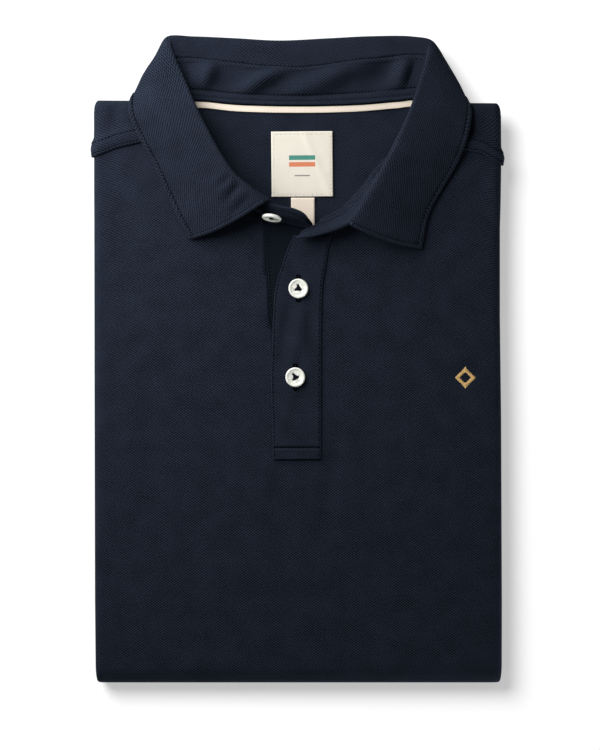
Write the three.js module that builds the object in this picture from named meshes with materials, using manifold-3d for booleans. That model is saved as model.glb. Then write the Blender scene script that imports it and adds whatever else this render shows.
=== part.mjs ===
// A short-sleeved polo shirt of pique knit, folded flat for a shelf.
//
// Millimetres. The shirt lies on its back on the plane z = 0: +X to the wearer's left, +Y towards the collar,
// +Z up, out of the chest. The origin is below the middle of the folded shirt.
//
// The body is a flattened tube of cloth with both sides turned behind. That flat tube is folded once more at
// the bottom, so its lower half lies behind its upper half. The front cut is the outside of the whole tube.

import * as THREE from "three";
import { mergeVertices } from "three/addons/utils/BufferGeometryUtils.js";
import Module from "manifold-3d";

const wasm = await Module();
wasm.setup();

// Driving sizes

const PLY = 1.4; // one thickness of knit, as a wall
const GAP = 0.3; // between neighbouring pieces
const CHEST_GAP = 0.38; // under what lies on the chest, whose swells it follows
const CHEST_Z = 22.4; // outside of the front, above the table
const UPPER_HALF_THICK = 5.0; // the upper half of the shirt, sides folded in
const LOWER_HALF_THICK = 4.5; // the lower half, folded behind it
const BOTTOM_FOLD_Y = -211.3;
const SHOULDER_TOP_Y = 167.6;
const HEM_Y = 142;
const END_ROUND = 5; // roundness of the shoulder fold, seen from the side
const INSIDE_Z = 18.4; // inside face of the back, seen through the neck
const BACK_SHEET_LOW_Y = 30; // how far down the back is modelled as a sheet of its own

const NAVY = 0x20252f;
const CREAM = 0xe8e0cf;
const SHELL = 0xd8d8cc;

// Half widths of the folded tube, to the wearer's right (left) and left (right), from shoulder to bottom fold

const WIDTHS = [
  { y: 168, left: 131.9, right: 131.6 },
  { y: 160, left: 132.7, right: 132.6 },
  { y: 140, left: 132.6, right: 132.7 },
  { y: 118, left: 132.6, right: 132.4 },
  { y: 100, left: 132.5, right: 131.9 },
  { y: 40, left: 132.4, right: 131.9 },
  { y: -30, left: 132.3, right: 132.7 },
  { y: -157, left: 132.0, right: 133.2 },
  { y: -210, left: 131.5, right: 133.1 },
];
const LOWER_NARROWER = 1.2; // the half behind lies a little inside the half in front

// Soft hollows and swells of the chest: middle, direction of the crease, length, breadth and height

const SWELLS = [
  { x: -88, y: 20, turn: 62, long: 150, broad: 44, rise: 0.7 },
  { x: 78, y: 30, turn: -68, long: 170, broad: 46, rise: 0.7 },
  { x: 4, y: -104, turn: 84, long: 110, broad: 52, rise: -0.6 },
  { x: -60, y: -150, turn: 12, long: 150, broad: 40, rise: 0.5 },
  { x: 70, y: -140, turn: -20, long: 140, broad: 44, rise: -0.5 },
  { x: -1, y: -72, turn: 90, long: 62, broad: 46, rise: 0.6 },
];

// Small tools

const between = (a, b, t) => a + (b - a) * t;

/** A named column of a table at y, straight between its rows, which run from high y to low. */
function readTable(rows, column, y) {
  if (y >= rows[0].y) return rows[0][column];
  for (let i = 1; i < rows.length; i++) {
    const [high, low] = [rows[i - 1], rows[i]];
    if (y >= low.y) return between(low[column], high[column], (y - low.y) / (high.y - low.y));
  }
  return rows[rows.length - 1][column];
}

/** A closed three.js geometry as a solid. */
function solidOf(geometry) {
  const bare = (geometry.index ? geometry.toNonIndexed() : geometry).clone();
  bare.deleteAttribute("normal");
  bare.deleteAttribute("uv");
  const merged = mergeVertices(bare, 1e-4);
  const vertProperties = new Float32Array(merged.attributes.position.array);
  const triVerts = new Uint32Array(merged.index.array);
  const made = new wasm.Manifold(new wasm.Mesh({ numProp: 3, vertProperties, triVerts }));
  if (made.volume() >= 0) return made;
  for (let i = 0; i < triVerts.length; i += 3) {
    [triVerts[i + 1], triVerts[i + 2]] = [triVerts[i + 2], triVerts[i + 1]];
  }
  return new wasm.Manifold(new wasm.Mesh({ numProp: 3, vertProperties, triVerts }));
}

/** A solid as a three.js geometry. */
function geometryOf(solid) {
  const mesh = solid.getMesh();
  const position = new Float32Array(mesh.numVert * 3);
  for (let i = 0; i < mesh.numVert; i++) {
    position.set(mesh.vertProperties.subarray(i * mesh.numProp, i * mesh.numProp + 3), i * 3);
  }
  const geometry = new THREE.BufferGeometry();
  geometry.setAttribute("position", new THREE.BufferAttribute(position, 3));
  geometry.setIndex(new THREE.BufferAttribute(mesh.triVerts, 1));
  return geometry;
}

/** A flat outline, extruded from z = low to z = high. */
function prism(outline, low, high) {
  const shape = new THREE.Shape(outline.map(([x, y]) => new THREE.Vector2(x, y)));
  const geometry = new THREE.ExtrudeGeometry(shape, { depth: high - low, bevelEnabled: false });
  return solidOf(geometry.translate(0, 0, low));
}

/** A box between two corners. */
function block(x0, x1, y0, y1, z0, z1) {
  const geometry = new THREE.BoxGeometry(x1 - x0, y1 - y0, z1 - z0);
  return solidOf(geometry.translate((x0 + x1) / 2, (y0 + y1) / 2, (z0 + z1) / 2));
}

/** Two grids of points with the same rows and columns, joined round their four borders into one closed shell. */
function closedShell(outer, inner) {
  const rows = outer.length;
  const columns = outer[0].length;
  const index = [];
  const at = (layer, i, j) => layer * rows * columns + i * columns + j;
  const quad = (a, b, c, d) => index.push(a, b, c, a, c, d);
  for (let i = 0; i + 1 < rows; i++) {
    for (let j = 0; j + 1 < columns; j++) {
      quad(at(0, i, j), at(0, i, j + 1), at(0, i + 1, j + 1), at(0, i + 1, j));
      quad(at(1, i, j), at(1, i + 1, j), at(1, i + 1, j + 1), at(1, i, j + 1));
    }
  }
  for (let i = 0; i + 1 < rows; i++) {
    quad(at(0, i, 0), at(0, i + 1, 0), at(1, i + 1, 0), at(1, i, 0));
    quad(at(0, i + 1, columns - 1), at(0, i, columns - 1), at(1, i, columns - 1), at(1, i + 1, columns - 1));
  }
  for (let j = 0; j + 1 < columns; j++) {
    quad(at(0, 0, j + 1), at(0, 0, j), at(1, 0, j), at(1, 0, j + 1));
    quad(at(0, rows - 1, j), at(0, rows - 1, j + 1), at(1, rows - 1, j + 1), at(1, rows - 1, j));
  }
  const geometry = new THREE.BufferGeometry();
  const points = [...outer.flat(), ...inner.flat()];
  geometry.setAttribute("position", new THREE.Float32BufferAttribute(points.flatMap((p) => p.toArray()), 3));
  geometry.setIndex(index);
  return solidOf(geometry);
}

/** A wall of even thickness on both sides of a grid of points. */
function wallOnGrid(grid, thickness) {
  const last = (list, i) => list[Math.max(0, Math.min(list.length - 1, i))];
  const moved = (sign) =>
    grid.map((row, i) =>
      row.map((p, j) => {
        const along = last(grid, i + 1)[j].clone().sub(last(grid, i - 1)[j]);
        const across = last(row, j + 1).clone().sub(last(row, j - 1));
        const normal = along.cross(across).normalize();
        return p.clone().addScaledVector(normal, (sign * thickness) / 2);
      }),
    );
  return closedShell(moved(1), moved(-1));
}

/** Smooth curve through one point of every row of a table, given by three of its column names. */
function curveThrough(rows, x, y, z) {
  const points = rows.map((row) => new THREE.Vector3(row[x], row[y], row[z]));
  return new THREE.CatmullRomCurve3(points, false, "centripetal");
}

// The folded tube, as sections across it

const UPPER_MID_Z = CHEST_Z - UPPER_HALF_THICK;
const LOWER_MID_Z = LOWER_HALF_THICK;
const BEND_MID_Z = (UPPER_MID_Z + LOWER_MID_Z) / 2;
const BEND_RADIUS = (UPPER_MID_Z - LOWER_MID_Z) / 2;
const BEND_Y = BOTTOM_FOLD_Y + BEND_RADIUS + (UPPER_HALF_THICK + LOWER_HALF_THICK) / 2;
const UPPER_STEPS = 20;
const LOWER_STEPS = 8;
const BEND_STEPS = 7;
const ROLL_STEPS = 6;
const CHEST_COLUMNS = 16;
const HIDDEN_COLUMNS = 4;
const SHOULDER_SLANT = 0.9; // the wearer's right shoulder lies this much higher than the middle
const SHOULDER_CORNER = 0.5; // how round the shoulder corners are in plan, 1 being as round as the fold
const BOTTOM_CORNER = 0.5; // how much squarer than a circle the rolls are in the middle of the bottom fold

/** Height of the chest above its even level. */
function swell(x, y) {
  let rise = 0;
  for (const s of SWELLS) {
    const turn = THREE.MathUtils.degToRad(s.turn);
    const along = (x - s.x) * Math.cos(turn) + (y - s.y) * Math.sin(turn);
    const off = -(x - s.x) * Math.sin(turn) + (y - s.y) * Math.cos(turn);
    rise += s.rise * Math.exp(-(((2 * along) / s.long) ** 2) - ((2 * off) / s.broad) ** 2);
  }
  return rise;
}

/** Stations along the tube, from the shoulder fold down the chest, round the bottom fold and up to the hem. */
function tubeStations() {
  const stations = [];
  const widths = (y, less) => ({
    left: readTable(WIDTHS, "left", y) - less,
    right: readTable(WIDTHS, "right", y) - less,
  });
  for (const share of [0.03, 0.2, 0.5, 1]) {
    const y = SHOULDER_TOP_Y - END_ROUND * share;
    const round = Math.sqrt(1 - (1 - share) ** 2);
    const half = UPPER_HALF_THICK * round;
    const slack = SHOULDER_CORNER * UPPER_HALF_THICK * (1 - round);
    stations.push({
      y,
      z: UPPER_MID_Z,
      outY: 0,
      outZ: 1,
      half,
      ...widths(y, slack),
      swells: false,
      slant: 1,
      endShare: 1 - share,
      corner: 1,
    });
  }
  for (let k = 1; k <= UPPER_STEPS; k++) {
    const y = between(SHOULDER_TOP_Y - END_ROUND, BEND_Y, k / UPPER_STEPS);
    const slant = Math.max(0, 1 - k / 3);
    stations.push({
      y,
      z: UPPER_MID_Z,
      outY: 0,
      outZ: 1,
      half: UPPER_HALF_THICK,
      ...widths(y, 0),
      swells: true,
      slant,
      endShare: 0,
      corner: 1,
    });
  }
  for (let k = 1; k <= BEND_STEPS; k++) {
    const turn = (Math.PI * k) / BEND_STEPS;
    stations.push({
      y: BEND_Y - BEND_RADIUS * Math.sin(turn),
      z: BEND_MID_Z + BEND_RADIUS * Math.cos(turn),
      outY: -Math.sin(turn),
      outZ: Math.cos(turn),
      half: between(UPPER_HALF_THICK, LOWER_HALF_THICK, k / BEND_STEPS),
      ...widths(BEND_Y, (LOWER_NARROWER * k) / BEND_STEPS),
      swells: false,
      slant: 0,
      endShare: 0,
      corner: 1 - BOTTOM_CORNER * Math.sin(turn),
    });
  }
  for (let k = 1; k <= LOWER_STEPS; k++) {
    const y = between(BEND_Y, HEM_Y, k / LOWER_STEPS);
    stations.push({
      y,
      z: LOWER_MID_Z,
      outY: 0,
      outZ: -1,
      half: LOWER_HALF_THICK,
      ...widths(y, LOWER_NARROWER),
      swells: false,
      slant: 0,
      endShare: 0,
      corner: 1,
    });
  }
  return stations;
}

const THINNEST_HALF = 0.15; // of the tube, where its inside closes at the shoulder fold

/** The outline across the tube at one station, moved in by inset. It starts in the middle of the hidden side. */
function tubeRing(station, inset) {
  const half = Math.max(station.half - inset, THINNEST_HALF);
  const ring = [];
  const y = station.y - inset * station.endShare;
  const place = (x, out, atChest) => {
    const rise = atChest && station.swells ? swell(x, station.y) : 0;
    const slant = (-x / station.left) * SHOULDER_SLANT * station.slant;
    const b = out + rise;
    ring.push(new THREE.Vector3(x, y + b * station.outY + slant, station.z + b * station.outZ));
  };
  const leftFlat = station.left - station.half;
  const rightFlat = station.right - station.half;
  for (let k = 0; k < HIDDEN_COLUMNS; k++) place((-leftFlat * k) / HIDDEN_COLUMNS, -half, false);
  const rolled = (value) => half * Math.sign(value) * Math.abs(value) ** station.corner;
  for (let k = 0; k < ROLL_STEPS; k++) {
    const turn = -Math.PI / 2 - (Math.PI * k) / ROLL_STEPS;
    place(-leftFlat + rolled(Math.cos(turn)), rolled(Math.sin(turn)), false);
  }
  for (let k = 0; k < CHEST_COLUMNS; k++) place(between(-leftFlat, rightFlat, k / CHEST_COLUMNS), half, true);
  for (let k = 0; k < ROLL_STEPS; k++) {
    const turn = Math.PI / 2 - (Math.PI * k) / ROLL_STEPS;
    place(rightFlat + rolled(Math.cos(turn)), rolled(Math.sin(turn)), false);
  }
  for (let k = 0; k < HIDDEN_COLUMNS; k++) place(rightFlat * (1 - k / HIDDEN_COLUMNS), -half, false);
  return ring;
}

/** A solid through closed rings of equal length, with flat ends. */
function solidThroughRings(rings) {
  const size = rings[0].length;
  const middles = [rings[0], rings[rings.length - 1]].map((ring) =>
    ring.reduce((sum, p) => sum.add(p), new THREE.Vector3()).divideScalar(size),
  );
  const points = [...rings.flat(), ...middles];
  const index = [];
  for (let i = 0; i + 1 < rings.length; i++) {
    for (let j = 0; j < size; j++) {
      const [a, b] = [i * size + j, i * size + ((j + 1) % size)];
      index.push(a, b, b + size, a, b + size, a + size);
    }
  }
  const lastRing = (rings.length - 1) * size;
  for (let j = 0; j < size; j++) {
    const next = (j + 1) % size;
    index.push(rings.length * size, next, j);
    index.push(rings.length * size + 1, lastRing + j, lastRing + next);
  }
  const geometry = new THREE.BufferGeometry();
  geometry.setAttribute("position", new THREE.Float32BufferAttribute(points.flatMap((p) => p.toArray()), 3));
  geometry.setIndex(index);
  return solidOf(geometry);
}

const stations = tubeStations();

/** The whole folded tube as one solid, with its outside moved in by inset. */
function tube(inset) {
  return solidThroughRings(stations.map((station) => tubeRing(station, inset)));
}

// Plan outlines that divide the cloth

/** Forward shoulder seam, where the back laps over the front: a row for each point, from side to neck. */
const SHOULDER_SEAM = {
  right: [
    { x: -140, y: 128.4 },
    { x: -133, y: 131 },
    { x: -118, y: 137 },
    { x: -102, y: 140.7 },
    { x: -70, y: 143 },
  ],
  left: [
    { x: 70, y: 141 },
    { x: 92, y: 138.5 },
    { x: 107, y: 136.1 },
    { x: 120.5, y: 133.3 },
    { x: 133, y: 125.6 },
    { x: 140, y: 122 },
  ],
};
const SEAM_LAP = 8; // between the two rows of stitches
const PAST = 180; // past the shirt in plan, for cutting
const ABOVE = 40; // past the shirt above, for cutting

const seamPath = [...SHOULDER_SEAM.right, ...SHOULDER_SEAM.left];

/** The y of the shoulder seam at x. */
function seamY(x) {
  for (let i = 1; i < seamPath.length; i++) {
    const [a, b] = [seamPath[i - 1], seamPath[i]];
    if (x <= b.x) return between(a.y, b.y, (x - a.x) / (b.x - a.x));
  }
  return seamPath[seamPath.length - 1].y;
}

/** Everything above the shoulder seam in plan, and past the shoulders. */
function aboveSeam(lift) {
  const line = seamPath.map((p) => [p.x, p.y + lift]);
  const [left, right] = [line[0][0], line[line.length - 1][0]];
  return prism([...line, [right, PAST], [left, PAST]], UPPER_MID_Z - UPPER_HALF_THICK - PLY, ABOVE);
}

/** Neck opening of the body in plan: the seam line of the stand, a little inside it. */
const NECKLINE = [
  { x: -70, y: 171 },
  { x: -76.2, y: 163 },
  { x: -75, y: 152 },
  { x: -66, y: 137 },
  { x: -53, y: 118 },
  { x: -39, y: 104 },
  { x: -23, y: 92.5 },
  { x: -22, y: 86 },
  { x: -21.6, y: 82 },
  { x: -17.4, y: 26 },
  { x: -17.4, y: -62 },
  { x: 13, y: -62 },
  { x: 13, y: 82 },
  { x: 14, y: 90.6 },
  { x: 29, y: 98.8 },
  { x: 42, y: 112.6 },
  { x: 50.5, y: 124.5 },
  { x: 67, y: 140 },
  { x: 78.5, y: 155 },
  { x: 81.4, y: 164 },
  { x: 78, y: 172 },
];
const NECK_HALF = 81.5; // half width of the gap between the two shoulder folds
const NECK_BACK_Y = 163.2; // the back's own neck edge, at its middle

// Front: the outside of the tube, slit behind where its side seams meet

const wall = tube(0).subtract(tube(PLY));
const neckHole = prism(NECKLINE.map((p) => [p.x, p.y]), CHEST_Z - 2 * PLY, ABOVE);
const SIDE_SEAM_HALF = 1.5; // half the gap between the two side seams
const SLIT_DEEP = PLY + 0.3; // right through the wall on the hidden side
const slit = block(
  -SIDE_SEAM_HALF,
  SIDE_SEAM_HALF,
  BEND_Y - 2 * PLY,
  SHOULDER_TOP_Y + END_ROUND,
  2 * LOWER_HALF_THICK - SLIT_DEEP,
  UPPER_MID_Z - UPPER_HALF_THICK + SLIT_DEEP,
);
const front = wall.subtract(aboveSeam(SEAM_LAP)).subtract(neckHole).subtract(slit);

// Back: shoulder folds, the lap over the forward seam, and the sheet seen inside the neck

/** A point on the chest at x, y, moved up by lift. */
function chestPoint(x, y, lift) {
  return new THREE.Vector3(x, y, CHEST_Z + swell(x, y) + lift);
}

/** The lap's section: distance up from the seam, underside and top side above the chest. */
const LAP_ROWS = [
  { up: 0, low: CHEST_GAP, high: CHEST_GAP + PLY },
  { up: SEAM_LAP / 2, low: CHEST_GAP, high: CHEST_GAP + PLY + 0.2 },
  { up: SEAM_LAP + 0.6, low: CHEST_GAP, high: CHEST_GAP + PLY },
  { up: SEAM_LAP + 1.6, low: -0.5, high: 1.0 },
  { up: SEAM_LAP + 4.5, low: -0.9, high: 0.1 },
];
const LAP_SIDE = 130; // where the width of the shirt is read for the lap's turn round the side
const LAP_FLAT = { from: 84, to: 121, columns: 3 }; // across the chest, from the neck to the side roll

/** The strip that laps over the front at one shoulder, round the side roll. side is -1 or 1. */
function seamLap(side) {
  const column = side < 0 ? "left" : "right";
  const around = [];
  for (let k = 0; k <= LAP_FLAT.columns; k++) {
    around.push({ x: between(LAP_FLAT.from, LAP_FLAT.to, k / LAP_FLAT.columns), turn: null });
  }
  for (let k = 0; k <= ROLL_STEPS; k++) around.push({ x: null, turn: Math.PI / 2 - (Math.PI * k) / ROLL_STEPS });
  const grid = (height) =>
    LAP_ROWS.map((row) =>
      around.map((a) => {
        const lift = row[height];
        if (a.x !== null) return chestPoint(side * a.x, seamY(side * a.x) + row.up, lift);
        const middle = readTable(WIDTHS, column, seamY(side * LAP_SIDE) + row.up) - UPPER_HALF_THICK;
        const reach = UPPER_HALF_THICK + lift;
        const x = side * (middle + reach * Math.cos(a.turn));
        return new THREE.Vector3(x, seamY(x) + row.up, UPPER_MID_Z + reach * Math.sin(a.turn));
      }),
    );
  return closedShell(grid("high"), grid("low"));
}

/** Plan of the sheet inside the neck, up to the shoulder folds and the back neck seam. */
const INSIDE_SHEET = [
  { x: -126, y: BACK_SHEET_LOW_Y },
  { x: 126, y: BACK_SHEET_LOW_Y },
  { x: 126, y: SHOULDER_TOP_Y - 1.6 },
  { x: NECK_HALF + 2, y: SHOULDER_TOP_Y - 1.6 },
  { x: NECK_HALF - 3, y: 168.5 },
  { x: 40, y: 164.4 },
  { x: 0, y: NECK_BACK_Y },
  { x: -40, y: 164.6 },
  { x: -NECK_HALF + 7, y: 168 },
  { x: -NECK_HALF - 2, y: SHOULDER_TOP_Y - 1 },
  { x: -126, y: SHOULDER_TOP_Y - 1 },
];
const insideSheet = prism(INSIDE_SHEET.map((p) => [p.x, p.y]), INSIDE_Z - PLY, INSIDE_Z);
const NECK_END_Y = 152; // the shoulder folds are cut away beside the neck from here up
const neckEnd = block(-NECK_HALF, NECK_HALF, NECK_END_Y, PAST, UPPER_MID_Z - UPPER_HALF_THICK - 1, ABOVE);
const shoulders = wall.intersect(aboveSeam(SEAM_LAP + GAP)).subtract(neckHole).subtract(neckEnd);
const back = shoulders.add(insideSheet).add(seamLap(-1)).add(seamLap(1));

// Hidden layers: what is folded inside, one rounded solid with the edges of its layers at the hem

const HIDDEN_INSET = PLY + GAP + 0.75;
const HIDDEN_TOP_Y = 150;
const LAYER_ENDS_Y = HEM_Y - 3;
const LAYER_GROOVE = { deep: 5, high: 0.8, shares: [0.36, 0.66] }; // shares of the lower half's thickness

function hiddenSolid() {
  const cutAcross = (lowY, highY, lowZ, highZ) => block(-PAST, PAST, lowY, highY, lowZ, highZ);
  let solid = tube(HIDDEN_INSET);
  solid = solid.subtract(cutAcross(BACK_SHEET_LOW_Y - GAP, PAST, INSIDE_Z - PLY - GAP, ABOVE));
  solid = solid.subtract(cutAcross(HIDDEN_TOP_Y, PAST, UPPER_MID_Z - UPPER_HALF_THICK, ABOVE));
  solid = solid.subtract(cutAcross(LAYER_ENDS_Y, HIDDEN_TOP_Y, 0, 2 * LOWER_HALF_THICK));
  for (const share of LAYER_GROOVE.shares) {
    const z = between(0, 2 * LOWER_HALF_THICK, share);
    const half = LAYER_GROOVE.high / 2;
    solid = solid.subtract(cutAcross(LAYER_ENDS_Y - LAYER_GROOVE.deep, HIDDEN_TOP_Y, z - half, z + half));
  }
  return solid;
}

// Sleeves: folded flat between the two halves

const SLEEVE = { outer: 124.5, inner: 10, top: 156, hem: -8, round: 9, bevel: 0.9 };
// How far its corners lie in from that frame: the inner end of the hem, the rise of the hem to the outer edge,
// and the curved seam at the armhole
const SLEEVE_CORNERS = { hemIn: 18, hemRise: 10, armholeIn: 40, armholeDown: 14, seamDown: 60 };
const sleeveLow = 2 * LOWER_HALF_THICK + GAP;
const sleeveHigh = UPPER_MID_Z - UPPER_HALF_THICK - GAP;

/** One sleeve, tapered towards its hem. side is -1 or 1. */
function sleeve(side) {
  const shape = new THREE.Shape();
  const { outer, inner, top, hem, round, bevel } = SLEEVE;
  const { hemIn, hemRise, armholeIn, armholeDown, seamDown } = SLEEVE_CORNERS;
  shape.moveTo(inner + hemIn, hem);
  shape.lineTo(outer - round, hem + hemRise);
  shape.quadraticCurveTo(outer, hem + hemRise, outer, hem + hemRise + round);
  shape.lineTo(outer, top - round);
  shape.quadraticCurveTo(outer, top, outer - round, top);
  shape.lineTo(inner + armholeIn, top - armholeDown);
  shape.lineTo(inner, top - seamDown);
  shape.lineTo(inner + hemIn, hem);
  const geometry = new THREE.ExtrudeGeometry(shape, {
    depth: sleeveHigh - sleeveLow - 2 * bevel,
    bevelThickness: bevel,
    bevelSize: bevel,
    bevelOffset: -bevel,
    bevelSegments: 2,
    curveSegments: 4,
  });
  geometry.translate(0, 0, sleeveLow + bevel);
  const solid = solidOf(geometry);
  return side > 0 ? solid : solid.mirror([1, 0, 0]);
}

// Collar: stations round the neck, from the button side's front end, round the back, to the buttonhole side's

const STAND_WALL = 2.0;
const LEAF_WALL = 2.4;
const STAND_SECTIONS = 66;
const STAND_SHARES = [0, 0.34, 0.68, 1];
const LEAF_SECTIONS = 58;
const LEAF_STATIONS = [0, 1, 2, 2.5, 3, 3.5, 4, 5, 6, 7]; // across the leaf, closer over its fold

/** Seam at the body (seamX, seamY, seamZ) and top of the stand (topX, topY, topZ), down the middle of its wall. */
const STAND = [
  { seamX: 8.2, seamY: 85.6, seamZ: 23.3, topX: 9.2, topY: 88.2, topZ: 26.6 },
  { seamX: 4.0, seamY: 86.6, seamZ: 23.3, topX: 4.8, topY: 93.4, topZ: 33.0 },
  { seamX: -3.0, seamY: 88.0, seamZ: 23.3, topX: -2.6, topY: 96.8, topZ: 35.6 },
  { seamX: -15.0, seamY: 92.0, seamZ: 23.4, topX: -14.0, topY: 99.3, topZ: 35.8 },
  { seamX: -28.0, seamY: 99.0, seamZ: 23.4, topX: -25.0, topY: 105.0, topZ: 35.0 },
  { seamX: -44.0, seamY: 111.5, seamZ: 23.4, topX: -40.5, topY: 115.0, topZ: 33.6 },
  { seamX: -57.5, seamY: 127.0, seamZ: 23.4, topX: -54.0, topY: 129.0, topZ: 32.0 },
  { seamX: -69.0, seamY: 145.0, seamZ: 23.4, topX: -65.5, topY: 149.0, topZ: 30.6 },
  { seamX: -75.4, seamY: 160.0, seamZ: 22.0, topX: -74.0, topY: 170.5, topZ: 26.4 },
  { seamX: -73.0, seamY: 167.6, seamZ: 20.2, topX: -81.0, topY: 191.0, topZ: 20.4 },
  { seamX: -64.0, seamY: 168.4, seamZ: 19.7, topX: -76.0, topY: 196.4, topZ: 17.4 },
  { seamX: -40.0, seamY: 165.6, seamZ: 19.7, topX: -46.0, topY: 193.6, topZ: 16.4 },
  { seamX: 0.0, seamY: 164.1, seamZ: 19.7, topX: 0.0, topY: 190.0, topZ: 15.8 },
  { seamX: 40.0, seamY: 165.5, seamZ: 19.7, topX: 45.0, topY: 195.4, topZ: 16.4 },
  { seamX: 66.0, seamY: 168.2, seamZ: 19.7, topX: 77.0, topY: 197.8, topZ: 17.2 },
  { seamX: 76.0, seamY: 168.6, seamZ: 20.2, topX: 84.4, topY: 193.6, topZ: 19.7 },
  { seamX: 78.4, seamY: 161.0, seamZ: 22.0, topX: 80.0, topY: 174.0, topZ: 26.2 },
  { seamX: 73.5, seamY: 147.0, seamZ: 23.4, topX: 71.5, topY: 153.0, topZ: 30.6 },
  { seamX: 61.0, seamY: 130.0, seamZ: 23.4, topX: 61.0, topY: 133.0, topZ: 32.4 },
  { seamX: 46.5, seamY: 113.6, seamZ: 23.6, topX: 52.0, topY: 113.0, topZ: 34.0 },
  { seamX: 31.0, seamY: 96.6, seamZ: 24.0, topX: 37.0, topY: 90.4, topZ: 34.4 },
  { seamX: 12.5, seamY: 87.4, seamZ: 27.0, topX: 17.0, topY: 81.6, topZ: 34.2 },
  { seamX: 2.4, seamY: 82.8, seamZ: 28.4, topX: -0.6, topY: 78.2, topZ: 32.4 },
];

/**
 * The fold of the leaf as its outline shows (foldX, foldY, foldZ), its outer edge (edgeX, edgeY, edgeZ), and how
 * far it bulges between them (bow).
 */
const LEAF = [
  { foldX: -20.5, foldY: 102.1, foldZ: 40.6, edgeX: -69.7, edgeY: 78.3, edgeZ: 24.2, bow: 3.0 },
  { foldX: -30.3, foldY: 110.5, foldZ: 40.8, edgeX: -76.6, edgeY: 91.0, edgeZ: 24.2, bow: 3.0 },
  { foldX: -40.0, foldY: 119.0, foldZ: 40.0, edgeX: -83.1, edgeY: 106.1, edgeZ: 24.2, bow: 3.0 },
  { foldX: -48.6, foldY: 131.0, foldZ: 39.0, edgeX: -92.0, edgeY: 125.5, edgeZ: 24.8, bow: 3.0 },
  { foldX: -56.2, foldY: 145.0, foldZ: 37.0, edgeX: -102.5, edgeY: 145.0, edgeZ: 26.4, bow: 3.0 },
  { foldX: -64.8, foldY: 162.1, foldZ: 33.5, edgeX: -108.6, edgeY: 159.0, edgeZ: 25.6, bow: 3.0 },
  { foldX: -73.6, foldY: 182.0, foldZ: 27.5, edgeX: -108.4, edgeY: 167.2, edgeZ: 22.6, bow: 2.8 },
  { foldX: -83.8, foldY: 204.2, foldZ: 20.5, edgeX: -105.4, edgeY: 171.6, edgeZ: 17.5, bow: 2.3 },
  { foldX: -84.4, foldY: 210.4, foldZ: 16.0, edgeX: -97.0, edgeY: 170.6, edgeZ: 11.0, bow: 0.6 },
  { foldX: -67.0, foldY: 210.7, foldZ: 14.3, edgeX: -82.0, edgeY: 167.0, edgeZ: 7.4, bow: 2.0 },
  { foldX: -38.0, foldY: 209.4, foldZ: 13.5, edgeX: -49.0, edgeY: 163.4, edgeZ: 5.4, bow: 3.0 },
  { foldX: -12.0, foldY: 208.2, foldZ: 13.0, edgeX: -16.0, edgeY: 161.8, edgeZ: 4.6, bow: 3.0 },
  { foldX: 20.0, foldY: 209.6, foldZ: 13.0, edgeX: 25.0, edgeY: 161.8, edgeZ: 4.6, bow: 3.0 },
  { foldX: 48.0, foldY: 210.8, foldZ: 13.5, edgeX: 60.0, edgeY: 163.6, edgeZ: 5.6, bow: 2.0 },
  { foldX: 75.0, foldY: 210.6, foldZ: 14.6, edgeX: 90.0, edgeY: 167.4, edgeZ: 8.2, bow: 0.8 },
  { foldX: 86.4, foldY: 207.8, foldZ: 16.6, edgeX: 104.4, edgeY: 170.4, edgeZ: 12.6, bow: 1.6 },
  { foldX: 86.6, foldY: 200.0, foldZ: 21.0, edgeX: 109.2, edgeY: 168.4, edgeZ: 20.0, bow: 2.4 },
  { foldX: 80.5, foldY: 181.0, foldZ: 27.5, edgeX: 112.0, edgeY: 160.6, edgeZ: 25.0, bow: 2.6 },
  { foldX: 71.5, foldY: 157.0, foldZ: 33.5, edgeX: 109.5, edgeY: 144.0, edgeZ: 26.4, bow: 2.4 },
  { foldX: 63.0, foldY: 137.5, foldZ: 37.5, edgeX: 102.0, edgeY: 126.0, edgeZ: 25.0, bow: 3.0 },
  { foldX: 53.8, foldY: 120.6, foldZ: 39.6, edgeX: 93.0, edgeY: 111.0, edgeZ: 24.2, bow: 3.0 },
  { foldX: 44.0, foldY: 103.5, foldZ: 40.4, edgeX: 84.2, edgeY: 94.0, edgeZ: 24.2, bow: 3.0 },
  { foldX: 32.5, foldY: 87.6, foldZ: 40.2, edgeX: 79.8, edgeY: 72.2, edgeZ: 24.2, bow: 3.0 },
];

const standSeam = curveThrough(STAND, "seamX", "seamY", "seamZ");
const standTop = curveThrough(STAND, "topX", "topY", "topZ");
const leafFold = curveThrough(LEAF, "foldX", "foldY", "foldZ");
const leafEdge = curveThrough(LEAF, "edgeX", "edgeY", "edgeZ");
/** The stretch of the stand, as shares of its rows, that carries the leaf. */
const LEAF_ON_STAND = { from: 3.45 / (STAND.length - 1), to: 20.1 / (STAND.length - 1) };
const STAND_BOW = 1.2; // the stand bulges out this much half way up
const LEAF_GAP = 0.62; // between the stand's top and the leaf, wider than GAP because both curve
const LEAF_LEAD_IN = 0.9; // straight on from the stand before it turns over
const ROLL_HALF = 2.1; // half the distance between the two sides of the fold
const ROLL_DROP = 1.3; // from the crest of the fold to its two sides
/** The two front edges of the leaf curve forward: how much, and over which share of its length that fades. */
const FRONT_EDGE = { right: 3.0, left: 1.2, fade: 0.1 };

/** Direction out of the stand's worn outer face at a share t of its length. */
function standOutward(t) {
  const rise = standTop.getPoint(t).sub(standSeam.getPoint(t));
  return standSeam.getTangent(t).cross(rise).normalize().negate();
}

/** A point of the stand's middle, a share of the way from its seam to its top. */
function standPoint(t, share) {
  const point = standSeam.getPoint(t).lerp(standTop.getPoint(t), share);
  return point.addScaledVector(standOutward(t), STAND_BOW * Math.sin(Math.PI * share));
}

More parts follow.
